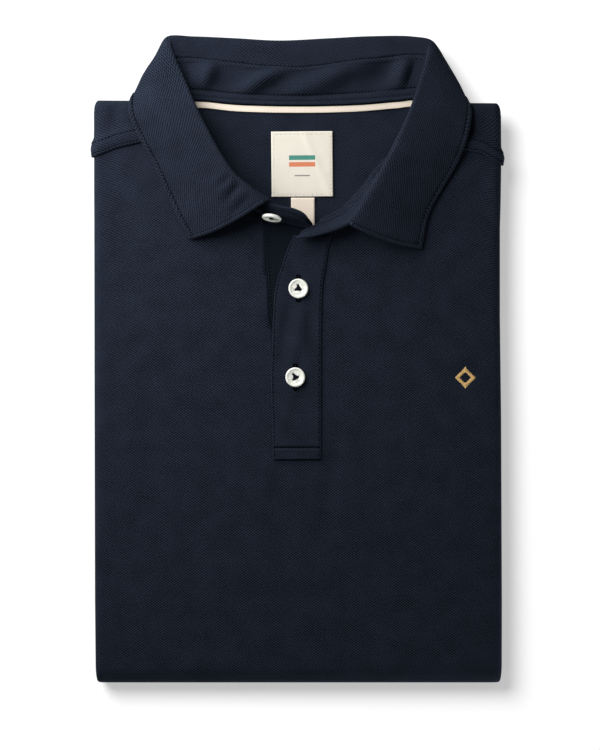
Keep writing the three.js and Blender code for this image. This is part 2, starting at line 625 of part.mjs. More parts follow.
/** The stand as rows of points from seam to top, with the top raised by above. */
function standGrid(above) {
  const grid = [];
  for (let i = 0; i <= STAND_SECTIONS; i++) {
    const row = STAND_SHARES.map((share) => standPoint(i / STAND_SECTIONS, share));
    const top = row[row.length - 1];
    const rise = top.clone().sub(row[row.length - 2]).normalize();
    top.addScaledVector(rise, above);
    grid.push(row);
  }
  return grid;
}

/** How far the leaf bulges at a share t of its length. */
function leafBow(t) {
  const place = t * (LEAF.length - 1);
  const row = Math.min(Math.floor(place), LEAF.length - 2);
  return between(LEAF[row].bow, LEAF[row + 1].bow, place - row);
}

/** How far the leaf curves forward in plan at a share t of its length: only its two front edges do. */
function frontCurve(t) {
  const near = Math.min(t, 1 - t) / FRONT_EDGE.fade;
  return (t < 0.5 ? FRONT_EDGE.right : FRONT_EDGE.left) * Math.max(0, 1 - near) ** 2;
}

/** The leaf as rows of points from the stand's top, over the fold, to the outer edge. */
function leafGrid() {
  const grid = [];
  for (let i = 0; i <= LEAF_SECTIONS; i++) {
    const t = i / LEAF_SECTIONS;
    const onStand = between(LEAF_ON_STAND.from, LEAF_ON_STAND.to, t);
    const top = standPoint(onStand, 1);
    const rise = top.clone().sub(standPoint(onStand, STAND_SHARES[2])).normalize();
    const start = top.addScaledVector(rise, LEAF_GAP);
    const fold = leafFold.getPoint(t);
    const edge = leafEdge.getPoint(t);
    const toEdge = edge.clone().sub(fold).normalize();
    const toStart = start.clone().sub(fold).normalize();
    const inwards = toEdge.clone().add(toStart).normalize();
    const apart = toEdge.clone().sub(toStart).normalize();
    const crest = fold.clone().addScaledVector(inwards, LEAF_WALL / 2);
    const inner = crest.clone().addScaledVector(inwards, ROLL_DROP).addScaledVector(apart, -ROLL_HALF);
    const outer = crest.clone().addScaledVector(inwards, ROLL_DROP).addScaledVector(apart, ROLL_HALF);
    const forward = new THREE.Vector3(toEdge.y, -toEdge.x, 0).multiplyScalar(t < 0.5 ? -1 : 1);
    const bow = (share) =>
      outer
        .clone()
        .lerp(edge, share)
        .addScaledVector(apart, leafBow(t) * Math.sin(Math.PI * share))
        .addScaledVector(forward, frontCurve(t) * Math.sin(Math.PI * share));
    const leadIn = start.clone().addScaledVector(rise, LEAF_LEAD_IN);
    const through = [start, leadIn, inner, crest, outer, bow(0.33), bow(0.66), edge];
    const curve = new THREE.CatmullRomCurve3(through, false, "centripetal");
    grid.push(LEAF_STATIONS.map((k) => curve.getPoint(k / (through.length - 1))));
  }
  return grid;
}

// Placket: the lower strip in the slit of the front, and the upper strip over it

const PLACKET_WALL = 1.8;
const PLACKET_COLUMNS = [0, 0.06, 0.35, 0.65, 0.94, 1]; // shares of its width
const PLACKET_EDGE_DROP = 0.5; // its rounded edges
const LOWER_PLACKET_DEEP = 0.1; // its top, below the chest's even level
const LOWER_PLACKET = [
  { y: 88, left: -21.2, right: 9.5 },
  { y: 84, left: -21.4, right: 12.2 },
  { y: 80, left: -21.1, right: 12.6 },
  { y: 26, left: -17.1, right: 12.6 },
  { y: -61.6, left: -17.1, right: 12.6 },
];
/** Left and right edge of the upper strip, and how far its free left edge stands off, from neck to foot. */
const UPPER_PLACKET = [
  { y: 80.6, left: -2.6, right: 21.8, lift: 1.1 },
  { y: 71, left: -6.8, right: 20.0, lift: 0.8 },
  { y: 62, left: -9.8, right: 18.6, lift: 0.5 },
  { y: 52, left: -13.0, right: 17.0, lift: 0.1 },
  { y: 43, left: -15.0, right: 16.2, lift: 0 },
  { y: 25, left: -16.0, right: 15.6, lift: 0 },
  { y: -14, left: -17.2, right: 15.4, lift: 0 },
  { y: -40, left: -16.6, right: 15.4, lift: 0 },
  { y: -56.8, left: -16.2, right: 15.4, lift: 0 },
  { y: -65.0, left: -16.2, right: 15.2, lift: 0 },
];

function upperPlacket() {
  const grid = (lift) =>
    UPPER_PLACKET.map((row) =>
      PLACKET_COLUMNS.map((share) => {
        const x = between(row.left, row.right, share);
        const rounded = lift > CHEST_GAP && (share === 0 || share === 1) ? -PLACKET_EDGE_DROP : 0;
        return chestPoint(x, row.y, row.lift * (1 - share) + lift + rounded);
      }),
    );
  return closedShell(grid(CHEST_GAP + PLACKET_WALL), grid(CHEST_GAP));
}

function lowerPlacket() {
  const rows = LOWER_PLACKET;
  const outline = [...rows.map((r) => [r.left, r.y]), ...[...rows].reverse().map((r) => [r.right, r.y])];
  return prism(outline, CHEST_Z - LOWER_PLACKET_DEEP - PLY, CHEST_Z - LOWER_PLACKET_DEEP);
}

// Tape, label and tab: flat on the inside of the back

const TRIM_WALL = 1.0;
const trimLow = INSIDE_Z + GAP;
/** The tape: its width, distance from the stand's seam, stretch of the stand's rows, and taper of its far edge. */
const TAPE = {
  wide: 4.4,
  away: 1.5,
  from: 8.62 / (STAND.length - 1),
  to: 15.2 / (STAND.length - 1),
  taper: 0.985,
  steps: 24,
};

function neckTape() {
  const [near, far] = [[], []];
  for (let k = 0; k <= TAPE.steps; k++) {
    const p = standSeam.getPoint(between(TAPE.from, TAPE.to, k / TAPE.steps));
    near.push([p.x, p.y - TAPE.away]);
    far.push([p.x * TAPE.taper, p.y - TAPE.away - TAPE.wide]);
  }
  return prism([...near, ...far.reverse()], trimLow, trimLow + TRIM_WALL);
}

const LABEL = { x: 3.0, y: 126.9, wide: 40, high: 42.6, turn: 0.5 };
const TAB = { x: 3.5, top: 105.0, foot: 84.6, wide: 15.4 };

function label() {
  const geometry = new THREE.BoxGeometry(LABEL.wide, LABEL.high, TRIM_WALL);
  geometry.rotateZ(THREE.MathUtils.degToRad(LABEL.turn));
  return solidOf(geometry.translate(LABEL.x, LABEL.y, trimLow + TRIM_WALL / 2));
}

// Buttons: four-layer shell buttons with a raised rim and three holes

const BUTTON = { radius: 6.35, thick: 2.6, rim: 1.5, dish: 0.55, hole: 0.85, spread: 1.75, sides: 22 };

function buttonSolid() {
  const { radius, thick, rim, dish } = BUTTON;
  const profile = [
    [0, 0],
    [radius - 1.3, 0],
    [radius - 0.25, 0.7],
    [radius, 1.5],
    [radius - 0.35, thick - 0.25],
    [radius - 0.9, thick],
    [radius - rim, thick - 0.15],
    [radius - rim - 0.8, thick - dish],
    [0, thick - dish],
  ];
  const lathe = new THREE.LatheGeometry(profile.map(([r, z]) => new THREE.Vector2(r, z)), BUTTON.sides);
  let solid = solidOf(lathe.rotateX(Math.PI / 2));
  for (let k = 0; k < 3; k++) {
    const hole = new THREE.CylinderGeometry(BUTTON.hole, BUTTON.hole, 3 * thick, 8).rotateX(Math.PI / 2);
    const turn = Math.PI / 2 + (2 * Math.PI * k) / 3;
    const at = [BUTTON.spread * Math.cos(turn), BUTTON.spread * Math.sin(turn)];
    solid = solid.subtract(solidOf(hole.translate(at[0], at[1], thick / 2)));
  }
  return solid;
}

const PLACKET_TOP_Z = CHEST_Z + CHEST_GAP + PLACKET_WALL;
const BUTTON_LIFT = 0.45; // above the placket, whose wall follows the chest
const BUTTONS = [
  { name: "button_upper", x: 0.5, y: 45.8, turn: 0 },
  { name: "button_lower", x: -1.5, y: -11.8, turn: -90 },
];
/** The collar button's place along and up the stand, and how far off the stand its thread lets it hang. */
const COLLAR_BUTTON = { along: 3.05 / (STAND.length - 1), up: 0.5, away: 1.8 };
const COLLAR_BUTTON_FACES = new THREE.Vector3(-0.16, -0.95, 0.22); // forward, and a little up

// The shirt

const part = new THREE.Group();

/** Adds one solid as a named sub-part. */
function add(name, solid, color, roughness) {
  const material = new THREE.MeshStandardMaterial({ color, roughness, metalness: 0 });
  const mesh = new THREE.Mesh(geometryOf(solid), material);
  mesh.name = name;
  part.add(mesh);
  return mesh;
}

add("front", front, NAVY, 0.9);
add("back", back, NAVY, 0.9);
add("hidden_layers", hiddenSolid(), NAVY, 0.9);
add("sleeve_right", sleeve(-1), NAVY, 0.9);
add("sleeve_left", sleeve(1), NAVY, 0.9);
add("collar_stand", wallOnGrid(standGrid(0), STAND_WALL), NAVY, 0.9);
const standRoom = wallOnGrid(standGrid(GAP), STAND_WALL + 2 * GAP);
add("collar_leaf", wallOnGrid(leafGrid(), LEAF_WALL).subtract(standRoom), NAVY, 0.9);
add("placket_lower", lowerPlacket(), NAVY, 0.9);
add("placket_upper", upperPlacket(), NAVY, 0.9);
add("neck_tape", neckTape(), CREAM, 0.85);
add("neck_label", label(), CREAM, 0.85);
add(
  "size_tab",
  block(TAB.x - TAB.wide / 2, TAB.x + TAB.wide / 2, TAB.foot, TAB.top, trimLow, trimLow + TRIM_WALL),
  CREAM,
  0.85,
);
for (const { name, x, y, turn } of BUTTONS) {
  const mesh = add(name, buttonSolid(), SHELL, 0.3);
  mesh.position.set(x, y, PLACKET_TOP_Z + swell(x, y) + BUTTON_LIFT);
  mesh.rotation.z = THREE.MathUtils.degToRad(turn);
}
const collarButton = add("button_collar", buttonSolid(), SHELL, 0.3);
const outward = standOutward(COLLAR_BUTTON.along);
const away = STAND_WALL / 2 + COLLAR_BUTTON.away;
collarButton.position.copy(standPoint(COLLAR_BUTTON.along, COLLAR_BUTTON.up).addScaledVector(outward, away));
collarButton.quaternion.setFromUnitVectors(new THREE.Vector3(0, 0, 1), COLLAR_BUTTON_FACES.normalize());

export default part;
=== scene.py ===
import math

import bmesh
import bpy
from mathutils import Matrix, Vector


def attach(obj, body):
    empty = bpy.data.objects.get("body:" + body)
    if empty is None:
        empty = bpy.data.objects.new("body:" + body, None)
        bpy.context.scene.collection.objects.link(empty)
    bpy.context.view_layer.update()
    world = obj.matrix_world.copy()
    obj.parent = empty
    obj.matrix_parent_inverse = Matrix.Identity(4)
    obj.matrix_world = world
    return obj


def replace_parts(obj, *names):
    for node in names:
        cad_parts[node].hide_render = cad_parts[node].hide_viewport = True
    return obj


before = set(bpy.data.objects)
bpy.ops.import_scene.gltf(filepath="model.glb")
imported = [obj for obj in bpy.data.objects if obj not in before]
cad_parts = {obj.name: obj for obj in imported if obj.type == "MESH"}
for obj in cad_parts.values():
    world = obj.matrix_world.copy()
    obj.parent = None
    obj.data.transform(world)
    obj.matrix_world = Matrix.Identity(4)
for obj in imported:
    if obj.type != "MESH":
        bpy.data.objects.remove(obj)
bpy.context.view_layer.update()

# Camera
# The shirt is seen from straight above, from two metres away with a long lens, so its outline stays true.
CAMERA_HEIGHT = 2.1
CHEST_HEIGHT = 0.0224
VIEW_WIDTH = 0.390
VIEW_MIDDLE = (0.0016, -0.0104)


def add_object(name, data):
    added = bpy.data.objects.new(name, data)
    bpy.context.scene.collection.objects.link(added)
    return added


lens = bpy.data.cameras.new("camera")
lens.sensor_fit = "HORIZONTAL"
lens.sensor_width = 36
lens.lens = lens.sensor_width * (CAMERA_HEIGHT - CHEST_HEIGHT) / VIEW_WIDTH
camera = add_object("camera", lens)
camera.location = (*VIEW_MIDDLE, CAMERA_HEIGHT)
bpy.context.scene.camera = camera
bpy.context.scene.view_settings.view_transform = "Standard"

# Front
# One cut of cotton pique knit, about 53 cm wide. Worn face out, it goes all round the folded packet: down the
# chest, round the bottom fold and up behind to the hem. Its sides meet behind, where the side seams are.
MM = 0.001
PLY = 1.3  # thickness of one layer of the cloth
CHEST_Z = 22.4
UPPER_HALF = 5.0
LOWER_HALF = 4.5
UPPER_MID_Z = CHEST_Z - UPPER_HALF
LOWER_MID_Z = LOWER_HALF
BEND_MID_Z = (UPPER_MID_Z + LOWER_MID_Z) / 2
BEND_RADIUS = (UPPER_MID_Z - LOWER_MID_Z) / 2
BEND_Y = -211.3 + BEND_RADIUS + (UPPER_HALF + LOWER_HALF) / 2
HEM_Y = 142
SIDE_SEAM_X = 1.5
# y, half width on the wearer's right, half width on the left
WIDTHS = [
    (168, 131.9, 131.6),
    (160, 132.7, 132.6),
    (140, 132.6, 132.7),
    (118, 132.6, 132.4),
    (100, 132.5, 131.9),
    (40, 132.4, 131.9),
    (-30, 132.3, 132.7),
    (-157, 132.0, 133.2),
    (-210, 131.5, 133.1),
]
# Shoulder seam in plan: x, y
SEAM_LINE = [
    (-140, 128.4), (-133, 131), (-118, 137), (-102, 140.7), (-70, 143),
    (70, 141), (92, 138.5), (107, 136.1), (120.5, 133.3), (133, 125.6), (140, 122),
]
# Neckline and placket slit in plan: x, y
NECKLINE = [
    (-70, 171), (-76.2, 163), (-75, 152), (-66, 137), (-53, 118), (-39, 104), (-23, 92.5), (-22, 86),
    (-21.6, 82), (-17.4, 26), (-14.2, 10), (-14.2, -62), (13, -62), (13, 82),
    (14, 90.6), (29, 98.8), (42, 112.6), (50.5, 124.5), (67, 140), (78.5, 155), (81.4, 164), (78, 172),
]
# Creases, as soft ridges and troughs: middle x and y, direction in degrees, length, breadth, rise
CREASES = [
    (-88, 20, 62, 150, 44, 0.7),
    (78, 30, -68, 170, 46, 0.7),
    (4, -104, 84, 110, 52, -0.6),
    (-60, -150, 12, 150, 40, 0.5),
    (70, -140, -20, 140, 44, -0.5),
    (-1, -72, 90, 62, 46, 0.8),
    (21, -76, 84, 52, 11, -1.1),
    (-20, -76, 72, 44, 9, 0.6),
    (-16, -92, 60, 40, 9, -0.4),
    (118, 112, 50, 62, 13, -0.9),
    (110, 121, 46, 50, 9, 0.6),
    (-118, 116, -54, 60, 12, -0.7),
    (-104, 98, -58, 70, 13, 0.5),
    (111, -24, 18, 44, 8, -0.6),
    (116, -18, 24, 34, 6, 0.4),
    (-44, 62, -28, 60, 14, 0.35),
    (-58, 50, -30, 70, 12, -0.35),
    (48, 58, 34, 66, 14, 0.35),
    (62, 40, 40, 80, 15, -0.3),
    (-30, -30, 80, 120, 20, 0.25),
    (34, -20, 96, 130, 22, 0.25),
    (-96, -96, 70, 120, 26, -0.3),
    (96, -70, 100, 130, 24, 0.3),
]


def between(a, b, t):
    return a + (b - a) * t


def read_table(rows, at, column):
    """A column of rows that are sorted by their first value, straight between the rows."""
    ordered = sorted(rows)
    if at <= ordered[0][0]:
        return ordered[0][column]
    for low, high in zip(ordered, ordered[1:]):
        if at <= high[0]:
            return between(low[column], high[column], (at - low[0]) / (high[0] - low[0]))
    return ordered[-1][column]


def crease_rise(creases, x, y):
    """How much a table of creases lifts the cloth at a place in plan."""
    rise = 0
    for middle_x, middle_y, turn, length, breadth, height in creases:
        cos, sin = math.cos(math.radians(turn)), math.sin(math.radians(turn))
        along = (x - middle_x) * cos + (y - middle_y) * sin
        off = (y - middle_y) * cos - (x - middle_x) * sin
        rise += height * math.exp(-((2 * along / length) ** 2) - (2 * off / breadth) ** 2)
    return rise


def ridge(off, middle, breadth, rise):
    """How much a soft ridge lifts the cloth at a distance off some line. A groove has a negative rise."""
    return rise * math.exp(-((off - middle) / breadth) ** 2)


def crease_height(x, y):
    """Height of the chest above its even level."""
    return crease_rise(CREASES, x, y)


def seam_y(x):
    return read_table(SEAM_LINE, x, 1)


def shares(steps):
    return [k / steps for k in range(steps + 1)]


def cloth_grid(across, along, place, unrolled):
    """A sheet of cloth as a grid of stations. place() gives each station's point in millimetres, and
    unrolled() its place on the uncut cloth, for the knit to follow."""
    bm = bmesh.new()
    columns, rows = len(across) - 1, len(along) - 1
    bmesh.ops.create_grid(bm, x_segments=columns, y_segments=rows, size=0.5)
    flat = {}
    for vert in bm.verts:
        i = round((vert.co.x + 0.5) * columns)
        j = round((vert.co.y + 0.5) * rows)
        flat[vert.index] = Vector(unrolled(across[i], along[j])) * MM
        vert.co = place(across[i], along[j])
    cloth_map = bm.loops.layers.uv.new("cloth")
    for face in bm.faces:
        for loop in face.loops:
            loop[cloth_map].uv = flat[loop.vert.index]
    return bm


def mesh_from(bm, name):
    """A mesh in metres, from a bmesh in millimetres."""
    bmesh.ops.scale(bm, vec=(MM, MM, MM), verts=bm.verts)
    mesh = bpy.data.meshes.new(name)
    bm.to_mesh(mesh)
    bm.free()
    return mesh


def add_piece(bm, name, material):
    """Turns a bmesh in millimetres into a piece that rides on the shirt."""
    mesh = mesh_from(bm, name)
    mesh.shade_smooth()
    mesh.materials.append(material)
    piece = add_object(name, mesh)
    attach(piece, "root")
    return piece


def thicken(piece, wall, side, edge=None):
    """Gives a sheet its thickness, on its inner side (-1), its outer side (1) or both (0). Its narrow edges
    can have a material of their own."""
    solid = piece.modifiers.new("wall", "SOLIDIFY")
    solid.thickness = wall * MM
    solid.offset = side
    if edge:
        piece.data.materials.append(edge)
        solid.material_offset_rim = 1


def new_material(name, roughness, specular=0.5):
    """A material, with its node tree and its shader."""
    material = bpy.data.materials.new(name)
    material.use_nodes = True
    shader = material.node_tree.nodes["Principled BSDF"]
    shader.inputs["Roughness"].default_value = roughness
    shader.inputs["Specular IOR Level"].default_value = specular
    return material, material.node_tree, shader


def math_node(tree, operation, first, second=None):
    node = tree.nodes.new("ShaderNodeMath")
    node.operation = operation
    for socket, value in zip(node.inputs, (first, second)):
        if isinstance(value, (int, float)):
            socket.default_value = value
        elif value is not None:
            tree.links.new(value, socket)
    return node.outputs[0]


def cloth_place(tree):
    """Where a point lies on the uncut cloth: its place, and how far across and along that is."""
    cloth_map = tree.nodes.new("ShaderNodeUVMap")
    cloth_map.uv_map = "cloth"
    split = tree.nodes.new("ShaderNodeSeparateXYZ")
    tree.links.new(cloth_map.outputs["UV"], split.inputs[0])
    return cloth_map.outputs["UV"], split.outputs["X"], split.outputs["Y"]


def object_place(tree):
    return tree.nodes.new("ShaderNodeTexCoord").outputs["Object"]


def noise_node(tree, place, scale, detail=2, distortion=0):
    noise = tree.nodes.new("ShaderNodeTexNoise")
    noise.inputs["Scale"].default_value = scale
    noise.inputs["Detail"].default_value = detail
    noise.inputs["Distortion"].default_value = distortion
    tree.links.new(place, noise.inputs["Vector"])
    return noise.outputs[0]


def colour_blend(tree, share, low, high):
    """Mixes two colours, each of them a constant or another node's output."""
    blend = tree.nodes.new("ShaderNodeMix")
    blend.data_type = "RGBA"
    tree.links.new(share, blend.inputs[0])
    for socket, colour in ((blend.inputs[6], low), (blend.inputs[7], high)):
        if isinstance(colour, tuple):
            socket.default_value = colour
        else:
            tree.links.new(colour, socket)
    return blend.outputs[2]


def add_bump(tree, shader, height, strength, distance):
    bump = tree.nodes.new("ShaderNodeBump")
    bump.inputs["Strength"].default_value = strength
    bump.inputs["Distance"].default_value = distance * MM
    tree.links.new(height, bump.inputs["Height"])
    tree.links.new(bump.outputs["Normal"], shader.inputs["Normal"])


def linear(*screen):
    """A screen colour, 0 to 255, as the linear colour that a shader takes."""
    return tuple(((c / 255 + 0.055) / 1.055) ** 2.4 if c > 10 else c / 255 / 12.92 for c in screen) + (1,)


PIQUE_CELL = (2.25, 1.62)
PIQUE_DEPTH = 0.16


def pique(name, valley, crown):
    """Cotton pique: raised cells in slanting rows, fuzzy fibres, a slight unevenness of the dye and painted
    shade.
    """
    material, tree, shader = new_material(name, 0.88, 0.02)
    shader.inputs["Sheen Weight"].default_value = 0.03
    shader.inputs["Sheen Roughness"].default_value = 0.4
    shader.inputs["Sheen Tint"].default_value = (0.5, 0.6, 0.8, 1)
    place, across, along = cloth_place(tree)
    x = math_node(tree, "MULTIPLY", across, 2 * math.pi / (PIQUE_CELL[0] * MM))
    y = math_node(tree, "MULTIPLY", along, 2 * math.pi / (PIQUE_CELL[1] * MM))
    rising = math_node(tree, "SINE", math_node(tree, "ADD", x, y))
    falling = math_node(tree, "SINE", math_node(tree, "SUBTRACT", x, y))
    cells = math_node(tree, "MULTIPLY", math_node(tree, "ADD", rising, falling), 0.33)
    fibres = noise_node(tree, place, 1150, 3)
    fuzz = math_node(tree, "MULTIPLY", math_node(tree, "SUBTRACT", fibres, 0.5), 1.6)
    height = math_node(tree, "ADD", math_node(tree, "ADD", cells, 0.5), fuzz)
    add_bump(tree, shader, height, 0.75, PIQUE_DEPTH)
    dye = noise_node(tree, place, 70, 3)
    unevenness = math_node(tree, "MULTIPLY", math_node(tree, "SUBTRACT", dye, 0.5), 0.5)
    # Painted shade and light: the colour follows the height of the cells and fibres, dark in their hollows
    # and light on their crowns, plus a random unevenness of the dye.
    colour = colour_blend(tree, math_node(tree, "ADD", height, unevenness), valley, crown)
    tree.links.new(colour, shader.inputs["Base Color"])
    return material


def turned_edge(name, dark, light):
    """The same cloth where it is turned over an edge: the knit is pulled smooth and only its fibres show."""
    material, tree, shader = new_material(name, 0.9, 0.02)
    fibres = noise_node(tree, object_place(tree), 900, 3)
    tree.links.new(colour_blend(tree, fibres, dark, light), shader.inputs["Base Color"])
    add_bump(tree, shader, fibres, 0.5, 0.1)
    return material


navy_pique = pique("navy_pique", linear(6, 8, 11), linear(36, 42, 55))
navy_edge = turned_edge("navy_edge", linear(14, 17, 23), linear(36, 42, 55))

FRONT_TOP_LIFT = 6.5  # the front runs this far up under the shoulder's lap
HIDDEN_TOP_Y = 151
WIDTHS_TOP_Y = 150
LOWER_NARROWER = 1.2  # the lower half is this much narrower at each side
BOTTOM_CORNER = 0.5  # how much squarer than a circle the side rolls are in the middle of the bottom fold
FOLD_CREASE = {"turn": 41, "breadth": 7, "depth": 0.55}  # pressed line just above the bottom fold
CREASE_FADE = 6.0  # the creases fade over this length above the bottom fold
# Length of each stretch of the cloth, round the packet and down it
AROUND_LENGTHS = {
    "hidden_right": 125, "roll_right": math.pi * UPPER_HALF, "chest": 253,
    "roll_left": math.pi * UPPER_HALF, "hidden_left": 125,
}
DOWN_LENGTHS = {"upper": 345, "bend": 36, "lower": 341}


def stations(*stretches):
    """Stations along a row of stretches, each given by its name and its number of steps."""
    places = [(name, t) for name, steps in stretches for t in shares(steps)[:-1]]
    return places + [(stretches[-1][0], 1.0)]


def along_cloth(lengths, station):
    """How far along the uncut cloth a station lies, by the lengths of the stretches in their order."""
    stretch, t = station
    names = list(lengths)
    before = sum(lengths[name] for name in names[:names.index(stretch)])
    return before + lengths[stretch] * t


around_packet = stations(
    ("hidden_right", 26), ("roll_right", 9), ("chest", 86), ("roll_left", 9), ("hidden_left", 26)
)
down_packet = stations(("upper", 112), ("bend", 20), ("lower", 56))


def rolled(half, value, corner):
    return math.copysign(half * abs(value) ** corner, value)


def around_section(around, right_flat, left_flat, half, corner):
    """The packet's cross section: x, and how far out of its middle plane."""
    region, t = around
    side = rolled(half, math.sin(math.pi * t), corner)
    out = rolled(half, math.cos(math.pi * t), corner)
    return {
        "hidden_right": (between(-SIDE_SEAM_X, -right_flat, t), -half),
        "roll_right": (-right_flat - side, -out),
        "chest": (between(-right_flat, left_flat, t), half),
        "roll_left": (left_flat + side, out),
        "hidden_left": (between(left_flat, SIDE_SEAM_X, t), -half),
    }[region]


def front_point(around, down):
    region = around[0]
    stretch, s = down
    half, narrower, corner, pressed = UPPER_HALF, 0.0, 1.0, 0.0
    out_y, out_z = 0.0, 1.0
    if stretch == "upper":
        y, z = between(HIDDEN_TOP_Y, BEND_Y, s), UPPER_MID_Z
    elif stretch == "bend":
        turn = math.pi * s
        out_y, out_z = -math.sin(turn), math.cos(turn)
        y, z = BEND_Y + BEND_RADIUS * out_y, BEND_MID_Z + BEND_RADIUS * out_z
        half, narrower = between(UPPER_HALF, LOWER_HALF, s), LOWER_NARROWER * s
        corner = 1 - BOTTOM_CORNER * math.sin(turn)
        off = (math.degrees(turn) - FOLD_CREASE["turn"]) / FOLD_CREASE["breadth"]
        pressed = FOLD_CREASE["depth"] * math.exp(-off * off)
    else:
        y, z = between(BEND_Y, HEM_Y, s), LOWER_MID_Z
        out_z = -1.0
        half, narrower = LOWER_HALF, LOWER_NARROWER
    width_y = between(WIDTHS_TOP_Y, BEND_Y, s) if stretch == "upper" else max(y, BEND_Y)
    right_flat, left_flat = (read_table(WIDTHS, width_y, column) - narrower - half for column in (1, 2))
    x, out = around_section(around, right_flat, left_flat, half, corner)
    if stretch == "upper" and not region.startswith("hidden"):
        y = between(seam_y(x) + FRONT_TOP_LIFT, BEND_Y, s)
    if region == "chest":
        out -= pressed
        if stretch == "upper":
            out += crease_height(x, y) * min(1, (y - BEND_Y) / CREASE_FADE)
    return Vector((x, y + out * out_y, z + out * out_z))


def front_unrolled(around, down):
    return (along_cloth(AROUND_LENGTHS, around), -along_cloth(DOWN_LENGTHS, down))


def inside(outline, x, y):
    """Whether x, y lies inside a closed outline in plan."""
    odd = False
    for (x0, y0), (x1, y1) in zip(outline, outline[1:] + outline[:1]):
        if (y0 > y) != (y1 > y) and x < between(x0, x1, (y - y0) / (y1 - y0)):
            odd = not odd
    return odd


def nearest_on(outline, x, y):
    """The point of a closed outline that lies nearest to x, y, and how far off it is."""
    best = (0, 0, 1e9)
    for (x0, y0), (x1, y1) in zip(outline, outline[1:] + outline[:1]):
        run_x, run_y = x1 - x0, y1 - y0
        t = ((x - x0) * run_x + (y - y0) * run_y) / (run_x**2 + run_y**2)
        t = max(0, min(1, t))
        px, py = x0 + run_x * t, y0 + run_y * t
        best = min(best, (px, py, math.hypot(x - px, y - py)), key=lambda found: found[2])
    return best


CHEST_LOWEST = CHEST_Z - 2.5
SLIT_FOOT = -70
RIM_REACH = 3.2  # corners of the grid that lie this near to the neckline are moved onto it


def in_neck_hole(face):
    middle = face.calc_center_median()
    return middle.z > CHEST_LOWEST and inside(NECKLINE, middle.x, middle.y)


bm = cloth_grid(around_packet, down_packet, front_point, front_unrolled)
bmesh.ops.reverse_faces(bm, faces=bm.faces)
bmesh.ops.delete(bm, geom=[face for face in bm.faces if in_neck_hole(face)], context="FACES")
for vert in bm.verts:
    if vert.is_boundary and vert.co.z > CHEST_LOWEST and vert.co.y > SLIT_FOOT:
        x, y, off = nearest_on(NECKLINE, vert.co.x, vert.co.y)
        if off < RIM_REACH:
            vert.co = (x, y, vert.co.z)
front = add_piece(bm, "front_cloth", navy_pique)
thicken(front, PLY, -1, navy_edge)
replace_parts(front, "front")

# Stitching
# Every seam is sewn with one matt navy thread, near black and darker than the cloth: partly its own dye,
# partly painted shade of the needle holes. Each stitch is a short, plump bead of thread that sits a little in
# the cloth.
thread, thread_tree, thread_shader = new_material("navy_thread_and_painted_shade", 0.85, 0.0)
thread_shader.inputs["Base Color"].default_value = linear(6, 7, 11)
twist = thread_tree.nodes.new("ShaderNodeTexWave")
twist.inputs["Scale"].default_value = 1400
thread_tree.links.new(object_place(thread_tree), twist.inputs["Vector"])
add_bump(thread_tree, thread_shader, twist.outputs["Fac"], 1.0, 0.05)


def dyed_thread(name, colour):
    """The same thread in another colour."""
    dyed = thread.copy()
    dyed.name = name
    dyed.node_tree.nodes["Principled BSDF"].inputs["Base Color"].default_value = colour
    return dyed


def facing(along, side, up):
    """The turn that lays the x, y and z axes along three directions."""
    return Matrix((along, side, up)).transposed().to_4x4()


def bead(bm, middle, half_sizes, turn=Matrix(), segments=(6, 4)):
    """Adds one small rounded bead of thread."""
    matrix = Matrix.Translation(middle) @ turn @ Matrix.Diagonal((*half_sizes, 1))
    bmesh.ops.create_uvsphere(bm, u_segments=segments[0], v_segments=segments[1], radius=1, matrix=matrix)


def sew(bm, points, normals, stitch=1.25, pause=0.75, radius=0.46):
    """Adds a row of stitches along points, in millimetres, that lie on the cloth with the given normals."""
    travelled = 0.0
    start = None
    for k in range(1, len(points)):
        travelled += (points[k] - points[k - 1]).length
        if start is None and travelled >= pause:
            start, travelled = k, 0.0
        elif start is not None and travelled >= stitch:
            a, b = points[start], points[k]
            along = (b - a).normalized()
            side = normals[k].cross(along).normalized()
            up = along.cross(side)
            bead(bm, (a + b) / 2 + up * radius * 0.5, (stitch / 2, radius, radius), facing(along, side, up))
            start, travelled = None, 0.0


SEW_STEP = 0.3


def sew_on_chest(bm, path, lift, height=crease_height, radius=0.46):
    """Stitches along a line in plan on the chest, or on what lies lift above it."""
    points = []
    for (x0, y0), (x1, y1) in zip(path, path[1:]):
        steps = max(1, round(math.hypot(x1 - x0, y1 - y0) / SEW_STEP))
        for k in range(steps):
            x, y = between(x0, x1, k / steps), between(y0, y1, k / steps)
            points.append(Vector((x, y, CHEST_Z + height(x, y) + lift)))
    sew(bm, points, [Vector((0, 0, 1))] * len(points), radius=radius)


# Hem
# The bottom of the front is turned up once and sewn down with two rows of stitches, 2 cm above its edge. The
# shirt rests on them, so they are sunk in the cloth.
HEM_STITCH_Z = 0.58
hem_rows = bmesh.new()
for above in (19, 25):
    for start, end in ((-122, -4), (4, 122)):
        row = [Vector((between(start, end, t), HEM_Y - above, HEM_STITCH_Z)) for t in shares(400)]
        sew(hem_rows, row, [Vector((0, 0, -1))] * len(row))
add_piece(hem_rows, "hem_stitches", thread)

# Back
# The back is one cut too. It shows inside the neck, and it comes over each shoulder to the forward seam. Its
# turned edge laps the front there and is held by two rows of stitches.
INSIDE_Z = 18.4
INSIDE_FOOT_Y = 40
INSIDE_LONG = 126
SHOULDER_TOP_Y = 167.6
END_ROUND = 5.0
NECK_HALF = 81.5
SLANT = 0.9
SLANT_WIDTH = 131  # the slant is reached this far from the middle
SHOULDER_CORNER = 0.5
# Neck edge and shoulder line of the inside, in plan: x, y
INSIDE_TOP = [
    (-126, 166.4), (-NECK_HALF - 2, 166.4), (-NECK_HALF + 7, 168), (-40, 164.6), (0, 163.2),
    (40, 164.4), (NECK_HALF - 3, 168.3), (NECK_HALF + 2, 166), (126, 166),
]
